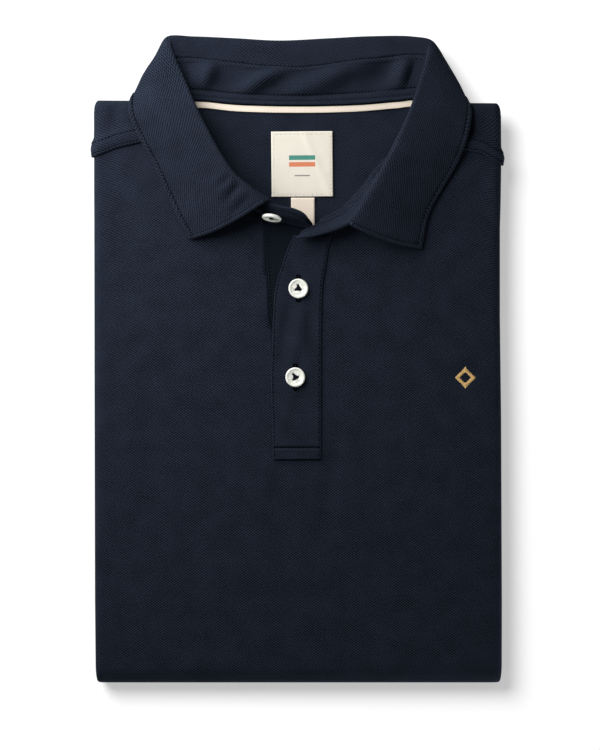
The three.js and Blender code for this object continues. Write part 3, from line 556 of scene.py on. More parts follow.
# Soft creases of the inside: middle x and y, direction, length, breadth, rise
INSIDE_CREASES = [
    (-44, 150, 24, 50, 9, 0.6),
    (52, 152, -28, 60, 8, 0.7),
    (60, 138, -48, 50, 9, -0.6),
    (-58, 132, 50, 60, 12, -0.5),
    (10, 156, 4, 60, 7, 0.4),
]


def inside_point(x, share):
    y = between(INSIDE_FOOT_Y, read_table(INSIDE_TOP, x, 1), share)
    return Vector((x, y, INSIDE_Z + crease_rise(INSIDE_CREASES, x, y)))


bm = cloth_grid(
    [between(-124, 124, t) for t in shares(92)], shares(46), inside_point,
    lambda x, share: (x, INSIDE_LONG * share),
)
back_inside = add_piece(bm, "back_inside_cloth", navy_pique)
thicken(back_inside, PLY, -1, navy_edge)
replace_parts(back_inside, "back")

# How far the shoulder's cloth stands above the front, by distance above the forward seam's edge
LAP_PROFILE = [
    (0, 1.15), (0.5, 1.7), (1.2, 1.9), (1.9, 1.65), (2.6, 1.95), (5.2, 2.3), (7.6, 1.9), (8.5, 1.4),
    (9.4, 1.6), (10.6, 0.9), (12.5, 0.15), (16, 0.0), (40, 0.0),
]
LAP_ROWS = [0, 0.5, 1.2, 1.9, 2.6, 3.8, 5.2, 6.6, 7.6, 8.5, 9.4, 10.6, 12.5, 15]
LAP_STITCHES = (1.9, 8.5)
SHOULDER_CREASES = [
    (-112, 158, 96, 30, 7, 0.6),
    (-120, 157, 84, 34, 6, -0.6),
    (-126, 155, 80, 30, 6, 0.5),
    (-104, 156, 104, 26, 7, -0.4),
    (117, 158, 88, 30, 7, 0.5),
    (110, 156, 80, 28, 7, -0.4),
]
EDGE_X = 128
HIDDEN_LAP_Y = 146


def shoulder_y(kind, rise, x):
    """Where a row of the shoulder's cloth lies in plan."""
    if kind == "lap":
        return seam_y(x) + rise
    if kind == "flat":
        return between(seam_y(x) + LAP_ROWS[-1], SHOULDER_TOP_Y - END_ROUND, rise)
    return SHOULDER_TOP_Y - END_ROUND * rise


def shoulder_height(x, y):
    return crease_height(x, y) + crease_rise(SHOULDER_CREASES, x, y)


def shoulder_point(side, around, up):
    """Shoulder cloth at one side: across the chest face, round the side roll, and back across behind."""
    region, t = around
    kind, rise = up
    column = 1 if side < 0 else 2
    share = rise if kind == "end" else 1.0
    around_end = math.sqrt(max(0.0, 1 - (1 - share) ** 2))
    half = UPPER_HALF * around_end
    edge_y = shoulder_y(kind, rise, side * EDGE_X)
    width = read_table(WIDTHS, edge_y, column) - SHOULDER_CORNER * UPPER_HALF * (1 - around_end)
    flat = width - max(half, 0.01)
    if region == "chest":
        x, out = between(NECK_HALF - 1, flat, t), half
    elif region == "roll":
        x, out = flat + half * math.sin(math.pi * t), half * math.cos(math.pi * t)
    else:
        x, out = between(flat, NECK_HALF - 1, t), -half
    y = shoulder_y(kind, rise, side * x)
    if kind == "lap":
        reach = read_table(LAP_PROFILE, rise, 1)
        if region == "roll":
            x += reach * math.sin(math.pi * t)
            out += reach * math.cos(math.pi * t) if t < 0.5 else 0.0
        elif region == "chest":
            out += reach
        else:
            y = max(y, HIDDEN_LAP_Y)
    if region == "chest" and kind != "end":
        out += shoulder_height(side * x, y)
    slant = -side * SLANT * x / SLANT_WIDTH * (min(1, rise / LAP_ROWS[-1]) if kind == "lap" else 1)
    return Vector((side * x, y + slant, UPPER_MID_Z + out))


around_shoulder = stations(("chest", 18), ("roll", 12), ("hidden", 12))
up_shoulder = (
    [("lap", rise) for rise in LAP_ROWS]
    + [("flat", t) for t in shares(5)[1:]]
    + [("end", share) for share in (0.78, 0.56, 0.37, 0.21, 0.09, 0.02, 0.0)]
)
SHOULDER_LENGTHS = {"chest": 46, "roll": 15.7, "hidden": 46}


def shoulder_unrolled(around, up):
    kind, rise = up
    up_cloth = {"lap": rise, "flat": 15 + 11 * rise, "end": 26 + 7 * (1 - rise)}[kind]
    return (along_cloth(SHOULDER_LENGTHS, around), up_cloth)


for side, name in ((-1, "back_shoulder_right"), (1, "back_shoulder_left")):
    bm = cloth_grid(
        around_shoulder, up_shoulder, lambda a, u, s=side: shoulder_point(s, a, u), shoulder_unrolled
    )
    if side < 0:
        bmesh.ops.reverse_faces(bm, faces=bm.faces)
    bmesh.ops.remove_doubles(bm, verts=bm.verts, dist=0.02)
    shoulder = add_piece(bm, name, navy_pique)
    thicken(shoulder, PLY, -1, navy_edge)

shoulder_rows = bmesh.new()
around_lap = [("chest", t) for t in shares(300)] + [("roll", t) for t in shares(90)[1:42]]
for side in (-1, 1):
    turns = [math.pi * t if region == "roll" else 0 for region, t in around_lap]
    normals = [Vector((side * math.sin(turn), 0, math.cos(turn))) for turn in turns]
    for above in LAP_STITCHES:
        sew(shoulder_rows, [shoulder_point(side, spot, ("lap", above)) for spot in around_lap], normals)
add_piece(shoulder_rows, "shoulder_stitches", thread)

# Folded inner layers
# What is turned inside lies in flat layers, which share one rounded form. Only their edges show, at the hem
# below.
INNER_HALF_WIDTH = 122
INNER_FOLD_Y = -192
INNER_LOW_Z, INNER_HIGH_Z = 2.3, 4.3
INNER_NARROWER = 0.985
INNER_LENGTHS = {"low": 331, "fold": 4, "high": 331}


def inner_point(x, down):
    """The lower layer from the hem to its fold, round the fold, and the upper layer back from it."""
    stretch, t = down
    wave = 0.25 * math.sin(x / 19)
    if stretch == "low":
        return Vector((x, between(HEM_Y - 3, INNER_FOLD_Y, t), INNER_LOW_Z + wave))
    x *= INNER_NARROWER
    if stretch == "high":
        return Vector((x, between(INNER_FOLD_Y, HEM_Y - 9, t), INNER_HIGH_Z + wave))
    z = between(INNER_LOW_Z, INNER_HIGH_Z, (1 - math.cos(math.pi * t)) / 2)
    return Vector((x, INNER_FOLD_Y - 2 * math.sin(math.pi * t), z + wave))


bm = cloth_grid(
    [between(-INNER_HALF_WIDTH, INNER_HALF_WIDTH, t) for t in shares(40)],
    [("low", t) for t in shares(30)] + stations(("fold", 6), ("high", 30))[1:],
    inner_point,
    lambda x, down: (x, along_cloth(INNER_LENGTHS, down)),
)
bmesh.ops.reverse_faces(bm, faces=bm.faces)
inner = add_piece(bm, "folded_inner_cloth", navy_pique)
thicken(inner, PLY, 0, navy_edge)
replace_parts(inner, "hidden_layers")

# Sleeves
# Each short sleeve is turned in behind the body and lies flat between the upper and the lower half. It is in
# two layers, folded along the sleeve's outer edge.
SLEEVE_Z = (9.95, 11.45)
SLEEVE_PLY = 1.2
SLEEVE_ENDS = (-8, 155)
SLEEVE_LENGTHS = {"top": 95, "fold": 2, "under": 95}
# y, x of the outer edge, x of the inner edge
SLEEVE_PLAN = [
    (-8, 108, 26), (6, 123, 24), (60, 124, 12), (96, 124, 12),
    (130, 124, 38), (144, 123.5, 52), (155, 116, 70),
]


def sleeve_point(side, around, y):
    region, t = around
    outer, inner_x = read_table(SLEEVE_PLAN, y, 1), read_table(SLEEVE_PLAN, y, 2)
    middle = (SLEEVE_Z[0] + SLEEVE_Z[1]) / 2
    half = (SLEEVE_Z[1] - SLEEVE_Z[0]) / 2
    if region == "top":
        return Vector((side * between(inner_x, outer - half, t), y, middle + half))
    if region == "fold":
        turn = math.pi * t
        return Vector((side * (outer - half + half * math.sin(turn)), y, middle + half * math.cos(turn)))
    return Vector((side * between(outer - half, inner_x, t), y, middle - half))


around_sleeve = stations(("top", 20), ("fold", 8), ("under", 20))
for side, name in ((-1, "right"), (1, "left")):
    bm = cloth_grid(
        around_sleeve,
        [between(*SLEEVE_ENDS, t) for t in shares(48)],
        lambda around, y, s=side: sleeve_point(s, around, y),
        lambda around, y: (along_cloth(SLEEVE_LENGTHS, around), y),
    )
    if side < 0:
        bmesh.ops.reverse_faces(bm, faces=bm.faces)
    sleeve = add_piece(bm, f"sleeve_{name}_cloth", navy_pique)
    thicken(sleeve, SLEEVE_PLY, 0, navy_edge)
    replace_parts(sleeve, f"sleeve_{name}")

# Collar stand
# The neck band: two layers of pique sewn to the neckline. It leans back behind the neck. Its two round ends
# cross in front, the buttonhole end over the button end.
STAND_WALL = 2.0
STAND_BOW = 1.2
# Seam at the body x y z, top of the stand x y z, from the button end round the back to the buttonhole end
STAND = [
    (8.2, 85.6, 23.3, 9.2, 88.2, 26.6),
    (4.0, 86.6, 23.3, 4.8, 93.4, 33.0),
    (-3.0, 88.0, 23.3, -2.6, 96.8, 35.6),
    (-15.0, 92.0, 23.4, -14.0, 99.3, 35.8),
    (-28.0, 99.0, 23.4, -25.0, 105.0, 35.0),
    (-44.0, 111.5, 23.4, -40.5, 115.0, 33.6),
    (-57.5, 127.0, 23.4, -54.0, 129.0, 32.0),
    (-69.0, 145.0, 23.4, -65.5, 149.0, 30.6),
    (-75.4, 160.0, 22.0, -74.0, 170.5, 26.4),
    (-73.0, 167.6, 20.2, -82.0, 194.6, 20.2),
    (-64.0, 168.4, 19.7, -74.5, 196.2, 17.4),
    (-40.0, 166.2, 19.7, -46.0, 193.6, 16.4),
    (0.0, 165.2, 19.7, 0.0, 190.0, 15.8),
    (40.0, 166.1, 19.7, 45.0, 195.4, 16.4),
    (66.0, 168.2, 19.7, 76.0, 198.0, 17.2),
    (76.0, 168.6, 20.2, 85.2, 196.4, 19.5),
    (78.4, 161.0, 22.0, 80.0, 174.0, 26.2),
    (73.5, 147.0, 23.4, 71.5, 153.0, 30.6),
    (61.0, 130.0, 23.4, 61.0, 133.0, 32.4),
    (46.5, 113.6, 23.6, 52.0, 113.0, 34.0),
    (31.0, 96.6, 24.0, 37.0, 90.4, 34.4),
    (12.5, 87.4, 27.0, 17.0, 81.6, 34.2),
    (2.4, 82.8, 28.4, -0.6, 78.2, 32.4),
]
STAND_SPANS = len(STAND) - 1


def smooth_through(points, t):
    """A point on the smooth curve through points, t from 0 to 1, spaced as evenly as the points are."""
    place = min(max(t, 0.0), 1.0) * (len(points) - 1)
    k = min(int(place), len(points) - 2)
    t = place - k
    b, c = points[k], points[k + 1]
    a = points[k - 1] if k > 0 else b * 2 - c
    d = points[k + 2] if k + 2 < len(points) else c * 2 - b
    step_a, step_b, step_c = (max((q - p).length, 1e-4) ** 0.5 for p, q in ((a, b), (b, c), (c, d)))
    leave = ((b - a) / step_a - (c - a) / (step_a + step_b) + (c - b) / step_b) * step_b
    reach = ((c - b) / step_b - (d - b) / (step_b + step_c) + (d - c) / step_c) * step_b
    square, cube = t**2, t**3
    from_b, from_c = 2 * cube - 3 * square + 1, 3 * square - 2 * cube
    return b * from_b + leave * (cube - 2 * square + t) + c * from_c + reach * (cube - square)


stand_seam = [Vector(row[:3]) for row in STAND]
stand_top = [Vector(row[3:]) for row in STAND]


def stand_outward(t):
    ahead = smooth_through(stand_seam, t + 0.004) - smooth_through(stand_seam, t - 0.004)
    rise = smooth_through(stand_top, t) - smooth_through(stand_seam, t)
    return -ahead.cross(rise).normalized()


# Soft slanting wrinkles: place along the stand, slant, breadth, rise
STAND_WRINKLES = [
    (0.469, 0.030, 0.0130, 4.0), (0.4746, 0.030, 0.0060, 2.4), (0.5177, 0.036, 0.0072, 6.0),
    (0.5596, 0.037, 0.0170, 5.6), (0.6087, 0.0, 0.0150, -2.8), (0.628, -0.004, 0.0090, 4.4),
    (0.30, 0.012, 0.0080, 0.6), (0.86, -0.016, 0.0090, 0.4), (0.12, 0.010, 0.0060, 0.3),
]
STAND_STITCH_SHARE = 0.27
# Seams that pull the back of the stand in, and the cloth that swells beside them: height, breadth, depth
STAND_SEAMS = [
    (STAND_STITCH_SHARE, 0.045, 0.6), (0.15, 0.055, -0.5), (0.085, 0.03, 0.6), (0.03, 0.03, -0.5),
    (0.94, 0.03, -0.8),
]
# Where along the stand these start, are full, begin to fade and end
STAND_BACK = (0.28, 0.34, 0.72, 0.78)
WRINKLE_FOOT = 0.22
TOP_EDGE, TOP_DROP = 0.97, 0.8


def stand_point(t, share):
    point = smooth_through(stand_seam, t).lerp(smooth_through(stand_top, t), share)
    out = STAND_BOW * math.sin(math.pi * share)
    fade = math.sin(math.pi * min(1, max(0, (share - WRINKLE_FOOT) / (1 - WRINKLE_FOOT))))
    for place, slant, breadth, rise in STAND_WRINKLES:
        out -= fade * ridge(t - slant * (share - 0.5), place, breadth, rise)
    start, full, fading, end = STAND_BACK
    at_back = max(0.0, min(1.0, (t - start) / (full - start), (end - t) / (end - fading)))
    for middle, breadth, depth in STAND_SEAMS:
        out += at_back * ridge(share, middle, breadth, depth)
    out += TOP_DROP * at_back * max(0.0, (share - TOP_EDGE) / (1 - TOP_EDGE))
    return point + stand_outward(t) * out


LENGTH_STEPS = 220


def length_table(place):
    """How far along a line each share of it lies, as rows of share and millimetres."""
    points = [place(t) for t in shares(LENGTH_STEPS)]
    rows = [(0.0, 0.0)]
    for k in range(1, len(points)):
        rows.append((k / LENGTH_STEPS, rows[-1][1] + (points[k] - points[k - 1]).length))
    return rows


stand_lengths = length_table(lambda t: smooth_through(stand_seam, t).lerp(smooth_through(stand_top, t), 0.5))


def stand_unrolled(t, share):
    height = (smooth_through(stand_top, t) - smooth_through(stand_seam, t)).length
    return (read_table(stand_lengths, t, 1), height * share)


bm = cloth_grid(shares(330), shares(33), stand_point, stand_unrolled)
stand = add_piece(bm, "collar_stand_cloth", navy_pique)
thicken(stand, STAND_WALL, 0, navy_edge)
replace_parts(stand, "collar_stand")

stand_rows = bmesh.new()
# Height share, from, to, inner face (-1) or outer face (1), and thread radius of each row of stitches
STAND_ROWS = [
    (STAND_STITCH_SHARE, 0.30, 0.77, -1, 0.55), (0.84, 0.02, 0.145, 1, 0.3), (0.16, 0.03, 0.16, 1, 0.3),
    (0.84, 0.925, 0.985, -1, 0.3), (0.16, 0.86, 0.985, -1, 0.3),
]
THREAD_LIFT = 0.02
for share, start, end, face, radius in STAND_ROWS:
    places = [between(start, end, t) for t in shares(1500)]
    lift = face * (STAND_WALL / 2 + THREAD_LIFT)
    points = [stand_point(t, share) + stand_outward(t) * lift for t in places]
    sew(stand_rows, points, [stand_outward(t) * face for t in places], radius=radius)
add_piece(stand_rows, "stand_stitches", thread)

# Collar leaf
# The fall of the collar: two layers of pique, turned over the stand in a soft roll. Its edge is topstitched.
LEAF_WALL = 2.3
LEAF_GAP = 0.95
ROLL_HALF = 2.1
ROLL_DROP = 1.3
# The two front edges curve forward: how much, and over which share of the leaf's length that fades
FRONT_BOW_RIGHT, FRONT_BOW_LEFT, FRONT_FADE = 3.0, 1.2, 0.1
LEAF_FROM, LEAF_TO = 3.45 / STAND_SPANS, 20.1 / STAND_SPANS
LEAF_ON_STAND = 0.68  # the leaf is sewn to the stand this high up
# The fold x y z, the outer edge x y z and the bulge between them, from the right front round the back
LEAF = [
    (-20.5, 102.1, 40.6, -69.7, 78.3, 24.2, 3.0),
    (-30.3, 110.5, 40.8, -76.6, 91.0, 24.2, 3.0),
    (-40.0, 119.0, 40.0, -83.1, 106.1, 24.2, 3.0),
    (-48.6, 131.0, 39.0, -92.0, 125.5, 24.8, 3.0),
    (-56.2, 145.0, 37.0, -102.5, 145.0, 26.4, 3.0),
    (-64.8, 162.1, 33.5, -108.6, 159.0, 25.6, 3.0),
    (-73.6, 182.0, 27.5, -108.4, 167.2, 22.6, 2.8),
    (-83.8, 204.2, 20.5, -105.4, 171.6, 17.5, 2.3),
    (-84.4, 210.4, 16.0, -97.0, 170.6, 11.0, 0.6),
    (-67.0, 210.7, 12.8, -82.0, 167.0, 7.4, 2.0),
    (-38.0, 209.4, 12.0, -49.0, 163.4, 5.4, 3.0),
    (-12.0, 208.2, 11.5, -16.0, 161.8, 4.6, 3.0),
    (20.0, 209.6, 11.5, 25.0, 161.8, 4.6, 3.0),
    (48.0, 210.8, 12.0, 60.0, 163.6, 5.6, 2.0),
    (75.0, 210.6, 13.1, 90.0, 167.4, 8.2, 0.8),
    (86.4, 207.8, 16.6, 104.4, 170.4, 12.6, 1.6),
    (86.6, 200.0, 21.0, 109.2, 168.4, 20.0, 2.4),
    (80.5, 181.0, 27.5, 112.0, 160.6, 24.6, 2.4),
    (71.5, 157.0, 33.5, 109.5, 144.0, 26.0, 1.8),
    (63.0, 137.5, 37.5, 102.0, 126.0, 24.3, 2.0),
    (53.8, 120.6, 39.6, 93.0, 111.0, 23.8, 2.0),
    (44.0, 103.5, 40.4, 84.2, 94.0, 23.8, 2.2),
    (32.5, 87.6, 40.2, 79.8, 72.2, 23.8, 2.4),
]
leaf_fold = [Vector(row[:3]) for row in LEAF]
leaf_edge = [Vector(row[3:6]) for row in LEAF]
leaf_bow = [(k / (len(LEAF) - 1), row[6]) for k, row in enumerate(LEAF)]
leaf_sections = {}


def leaf_section(t):
    """The points that the leaf's section passes through, from the stand over the fold to the outer edge."""
    if t in leaf_sections:
        return leaf_sections[t]
    on_stand = between(LEAF_FROM, LEAF_TO, t)
    top = smooth_through(stand_seam, on_stand).lerp(smooth_through(stand_top, on_stand), 1.0)
    below = smooth_through(stand_seam, on_stand).lerp(smooth_through(stand_top, on_stand), LEAF_ON_STAND)
    below += stand_outward(on_stand) * STAND_BOW * math.sin(math.pi * LEAF_ON_STAND)
    rise = (top - below).normalized()
    start = top + rise * LEAF_GAP
    fold, edge = smooth_through(leaf_fold, t), smooth_through(leaf_edge, t)
    to_edge, to_start = (edge - fold).normalized(), (start - fold).normalized()
    inwards = (to_edge + to_start).normalized()
    apart = (to_edge - to_start).normalized()
    crest = fold + inwards * LEAF_WALL / 2
    inner_side = crest + inwards * ROLL_DROP - apart * ROLL_HALF
    outer_side = crest + inwards * ROLL_DROP + apart * ROLL_HALF
    forward = Vector((to_edge.y, -to_edge.x, 0)) * (1 if t > 0.5 else -1)
    front_bow = FRONT_BOW_LEFT if t > 0.5 else FRONT_BOW_RIGHT
    front_bow *= max(0.0, 1 - min(t, 1 - t) / FRONT_FADE) ** 2
    bulge = read_table(leaf_bow, t, 1)

    def bowed(share):
        bow = (apart * bulge + forward * front_bow) * math.sin(math.pi * share)
        return outer_side.lerp(edge, share) + bow

    leaf_sections[t] = [
        start, start + rise * 0.9, inner_side, crest, outer_side, bowed(0.33), bowed(0.66), edge,
    ]
    return leaf_sections[t]


EDGE_STITCH = 1.7  # how far in from its edges the leaf is stitched
# Soft wrinkles of the leaf: place along, place across, breadth along, breadth across, slant, rise
LEAF_WRINKLES = [
    (0.094, 0.62, 0.0065, 0.050, -0.20, 1.0),
    (0.082, 0.62, 0.0060, 0.055, -0.22, -1.0),
    (0.070, 0.63, 0.0065, 0.070, -0.23, 1.7),
    (0.055, 0.63, 0.0060, 0.060, -0.23, -1.5),
    (0.036, 0.64, 0.0070, 0.060, -0.20, 1.5),
    (0.020, 0.66, 0.0070, 0.060, -0.15, -1.0),
    (0.060, 0.82, 0.0220, 0.060, 0.0, 0.4),
    (0.30, 0.80, 0.0300, 0.080, 0.0, 0.5),
    (0.930, 0.66, 0.0080, 0.060, 0.15, 0.5),
    (0.950, 0.68, 0.0080, 0.060, 0.15, -0.4),
    (0.80, 0.72, 0.0300, 0.090, 0.0, 0.4),
]
LEAF_LENGTH = 470.0
LEAF_WIDTH = 62.0
# Lines along the seam and along the three free edges: distance in, breadth, rise
LEAF_SEAM_LINE = (1.5, 0.8, -0.9)
LEAF_EDGE_LINES = [(EDGE_STITCH / 2, 0.65, 0.75), (EDGE_STITCH, 0.5, -0.4)]
SEAM_RISE = 0.9


def leaf_point(t, share):
    point = smooth_through(leaf_section(t), share)
    out = 0.0
    for place, middle, breadth, spread, slant, rise in LEAF_WRINKLES:
        off = (t - place - slant * (share - middle)) / breadth
        far = (share - middle) / spread
        out += rise * math.exp(-off * off - far * far)
    seam_off = share * LEAF_WIDTH
    out += ridge(seam_off, *LEAF_SEAM_LINE) + max(0.0, SEAM_RISE - seam_off)
    if share > 0.5:
        edge_off = min((1 - share) * LEAF_WIDTH, min(t, 1 - t) * LEAF_LENGTH)
        out += sum(ridge(edge_off, *line) for line in LEAF_EDGE_LINES)
    return point + leaf_up(t, share) * out


def leaf_up(t, share):
    """Outward direction of the leaf's face that shows when it is worn."""
    low, high = max(0.0, share - 0.004), min(1.0, share + 0.004)
    before, after = max(0.0, t - 0.003), min(1.0, t + 0.003)
    across = smooth_through(leaf_section(t), high) - smooth_through(leaf_section(t), low)
    along = smooth_through(leaf_section(after), share) - smooth_through(leaf_section(before), share)
    return along.cross(across).normalized()


def fine_ends(length, fine, steps):
    """Shares from 0 to 1 with extra stations fine millimetres from both ends of a length."""
    near = [f / length for f in fine]
    middle = [between(near[-1], 1 - near[-1], t) for t in shares(steps)]
    return near[:-1] + middle + [1 - n for n in reversed(near[:-1])]


EDGE_STATIONS = [0, 0.5, 1.0, 1.5, 2.0, 2.5, 3.2, 4.4, 6.5]
leaf_along = fine_ends(LEAF_LENGTH, EDGE_STATIONS, 190)
leaf_across = [t for t in shares(44) if t < 1 - EDGE_STATIONS[-1] / LEAF_WIDTH]
leaf_across += [1 - e / LEAF_WIDTH for e in reversed(EDGE_STATIONS)]
leaf_lengths = length_table(lambda t: smooth_through(leaf_section(t), 0.78))
leaf_widths = {}


def leaf_unrolled(t, share):
    if t not in leaf_widths:
        leaf_widths[t] = length_table(lambda s: smooth_through(leaf_section(t), s))
    return (read_table(leaf_lengths, t, 1), read_table(leaf_widths[t], share, 1))


bm = cloth_grid(leaf_along, leaf_across, leaf_point, leaf_unrolled)
leaf = add_piece(bm, "collar_leaf_cloth", navy_pique)
thicken(leaf, LEAF_WALL, 0, navy_edge)
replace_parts(leaf, "collar_leaf")

FRONT_STITCH_FROM = 0.56
edge_share = 1 - EDGE_STITCH / LEAF_WIDTH
end_share = EDGE_STITCH / LEAF_LENGTH
leaf_path = [(end_share, between(FRONT_STITCH_FROM, edge_share, s)) for s in shares(180)]
leaf_path += [(between(end_share, 1 - end_share, t), edge_share) for t in shares(1700)]
leaf_path += [(1 - end_share, between(edge_share, FRONT_STITCH_FROM, s)) for s in shares(180)]
leaf_normals = [leaf_up(t, share) for t, share in leaf_path]
leaf_points = [
    leaf_point(t, share) + up * (LEAF_WALL / 2 + THREAD_LIFT)
    for (t, share), up in zip(leaf_path, leaf_normals)
]
leaf_rows = bmesh.new()
sew(leaf_rows, leaf_points, leaf_normals)
add_piece(leaf_rows, "leaf_stitches", thread)

# Lower placket
# The button strip: a band of pique sewn to the edge of the slit. Only its upper left corner shows, in the
# shade of the upper placket. Its pique is a darker, greener copy of the navy one, and the darkness is painted
# shade.
LOWER_PLACKET_Z = 22.3
LOWER_PLACKET_WIDE = 31
# y, left edge, right edge
LOWER_PLACKET = [
    (88, -22.0, 9.5), (84, -22.3, 12.2), (80, -22.1, 12.8), (26, -18.1, 12.8),
    (10, -14.9, 12.8), (-61, -14.9, 12.8),
]


def lower_placket_point(across, y):
    x = between(read_table(LOWER_PLACKET, y, 1), read_table(LOWER_PLACKET, y, 2), across)
    return Vector((x, y, LOWER_PLACKET_Z + crease_height(x, y)))


bm = cloth_grid(
    shares(16), [between(-61, 88, t) for t in shares(70)], lower_placket_point,
    lambda across, y: (LOWER_PLACKET_WIDE * across, y),
)
# The navy pique made darker and greener: its darkness is painted shade from the upper placket.
placket_pique_painted_shade = pique("placket_pique_painted_shade", linear(4, 6, 9), linear(22, 28, 36))
lower_placket = add_piece(bm, "placket_lower_cloth", placket_pique_painted_shade)
thicken(lower_placket, PLY, -1, navy_edge)
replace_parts(lower_placket, "placket_lower")

# Upper placket
# The buttonhole strip: a band of pique, folded double and stitched down along both edges and across its foot.
# Its free left edge stands up a little towards the collar.
PLACKET_WALL = 1.35
PLACKET_LIFT = 0.2
PLACKET_WIDE = 32
PLACKET_STITCH = 1.3
# y, left edge, right edge, height of the free left edge above the chest
UPPER_PLACKET = [
    (80.6, -2.6, 21.8, 1.1), (71, -6.8, 20.0, 0.8), (62, -9.8, 18.6, 0.5), (52, -13.0, 17.0, 0.1),
    (43, -15.0, 16.2, 0), (25, -16.0, 15.6, 0), (-14, -17.2, 15.4, 0), (-40, -16.6, 15.4, 0),
    (-56.8, -16.2, 15.4, 0), (-65.0, -16.2, 15.2, 0),
]
FOOT_BOX = -57.6
# Pressed lines across the foot: distance above the stitches there, breadth, rise
FOOT_LINES = [(0, 0.55, -1.0), (1.6, 0.8, 0.3), (-1.8, 0.9, 0.35)]
FOOT_LINES_FROM = 0.8
# Each edge is rounded off: how much, and over which width
RIGHT_ROUND, LEFT_ROUND = (0.8, 1.1), (0.6, 0.6)
# Soft wrinkles between the buttons: middle x and y, direction, length, breadth, rise
PLACKET_WRINKLES = [
    (-8, 20, 80, 46, 8, -0.8), (0, 12, 78, 50, 9, 1.3), (8, 26, 98, 40, 8, -0.7),
    (6, 4, 100, 34, 8, 0.8), (-7, -34, 70, 30, 8, 0.7), (4, -32, 104, 34, 8, -0.6),
    (2, 66, -60, 26, 8, 0.9), (-4, 60, -50, 26, 7, -0.7), (7, 60, -52, 24, 6, -0.6),
]


def placket_height(x, y):
    left, right, lift = (read_table(UPPER_PLACKET, y, column) for column in (1, 2, 3))
    rise = crease_height(x, y) + PLACKET_LIFT + PLACKET_WALL + lift * (right - x) / (right - left)
    return rise + crease_rise(PLACKET_WRINKLES, x, y)


def placket_point(across, y):
    left, right = read_table(UPPER_PLACKET, y, 1), read_table(UPPER_PLACKET, y, 2)
    x = between(left, right, across)
    edge = min(x - left, right - x)
    rise = placket_height(x, y) + ridge(edge, PLACKET_STITCH, 0.4, -0.3)
    if edge > FOOT_LINES_FROM:
        rise += sum(ridge(y - FOOT_BOX, *line) for line in FOOT_LINES)
    for off, (drop, breadth) in ((right - x, RIGHT_ROUND), (x - left, LEFT_ROUND)):
        rise -= drop * max(0, 1 - off / breadth) ** 2
    return Vector((x, y, CHEST_Z + rise))


placket_ys = [-65, -64.7, -64.2, -63.4, -62.4, *(between(-61.4, -59.4, t) for t in shares(3))]
placket_ys += [-58.6, -58.2, -57.6, -57.0, -56.6, *(between(-55.6, 80.6, t) for t in shares(90))]
bm = cloth_grid(
    fine_ends(PLACKET_WIDE, [0, 0.25, 0.5, 0.8, 1.1, 1.5, 1.9, 2.3, 2.9], 26), placket_ys, placket_point,
    lambda across, y: (PLACKET_WIDE * across, y),
)
upper_placket = add_piece(bm, "placket_upper_cloth", navy_pique)
thicken(upper_placket, PLACKET_WALL, -1, navy_edge)
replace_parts(upper_placket, "placket_upper")

placket_rows = bmesh.new()
for column, inwards in ((1, PLACKET_STITCH), (2, -PLACKET_STITCH)):
    path = [(read_table(UPPER_PLACKET, y, column) + inwards, y) for y in range(-64, 79, 3)]
    sew_on_chest(placket_rows, path, -0.34, placket_height, 0.34)
sew_on_chest(placket_rows, [(-15.0, FOOT_BOX), (14.2, FOOT_BOX)], -0.9, placket_height)
sew_on_chest(placket_rows, [(-20.1, 80), (-16.4, 27)], LOWER_PLACKET_Z - CHEST_Z, radius=0.36)
placket_stitches = add_piece(placket_rows, "placket_stitches", thread)

# Buttonholes
# A slit in the upper placket under each button, worked by machine: it is edged with dense cross stitches, and
# has a bar tack at each end.
BUTTON_PLACES = {"button_upper": (0.5, 45.8, 0), "button_lower": (-1.5, -11.8, -90)}
CROSS_STITCHES, CROSS_PITCH, CROSS_FROM, CROSS_SIDE = 34, 0.5, -8.2, 1.0
BAR_TACK_AT = 8.6
buttonhole_rows = bmesh.new()
for x, y, _ in BUTTON_PLACES.values():
    for k in range(CROSS_STITCHES):
        at_y = y + CROSS_FROM + CROSS_PITCH * k
        for side_x in (x - CROSS_SIDE, x + CROSS_SIDE):
            middle = Vector((side_x, at_y, CHEST_Z + placket_height(x, at_y) + 0.08))
            bead(buttonhole_rows, middle, (0.85, 0.27, 0.35))
    for at_y in (y - BAR_TACK_AT, y + BAR_TACK_AT):
        middle = Vector((x, at_y, CHEST_Z + placket_height(x, at_y) + 0.1))
        bead(buttonhole_rows, middle, (1.5, 0.4, 0.35), segments=(8, 6))
add_piece(buttonhole_rows, "buttonholes", thread)

# Buttons
# Three pale shell-look buttons, turned with a raised rim and a dished middle. Each has three drilled holes
# and is tied on with three double strands of thread.
BUTTON_THICK = 2.6
# Distance from the axis, height
BUTTON_PROFILE = [
    (0, 0), (4.6, 0), (5.4, 0.25), (6.05, 0.75), (6.32, 1.35), (6.35, 1.7), (6.22, 2.15), (5.95, 2.48),
    (5.55, 2.6), (5.15, 2.52), (4.75, 2.28), (4.35, 2.1), (3.8, 2.05), (0, 2.05),
]
HOLE_RADIUS, HOLE_SPREAD = 0.85, 1.75


def button_mesh():
    bm = bmesh.new()
    rim = [bm.verts.new((r, 0, z)) for r, z in BUTTON_PROFILE]
    edges = [bm.edges.new(pair) for pair in zip(rim, rim[1:])]
    bmesh.ops.spin(
        bm, geom=rim + edges, cent=(0, 0, 0), axis=(0, 0, 1), angle=2 * math.pi, steps=56, use_merge=True
    )
    bmesh.ops.remove_doubles(bm, verts=bm.verts, dist=0.01)
    bmesh.ops.recalc_face_normals(bm, faces=bm.faces)
    return bm


def hole_places():
    turns = [math.pi / 2 + k * 2 * math.pi / 3 for k in range(3)]
    return [Vector((HOLE_SPREAD * math.cos(turn), HOLE_SPREAD * math.sin(turn), 0)) for turn in turns]


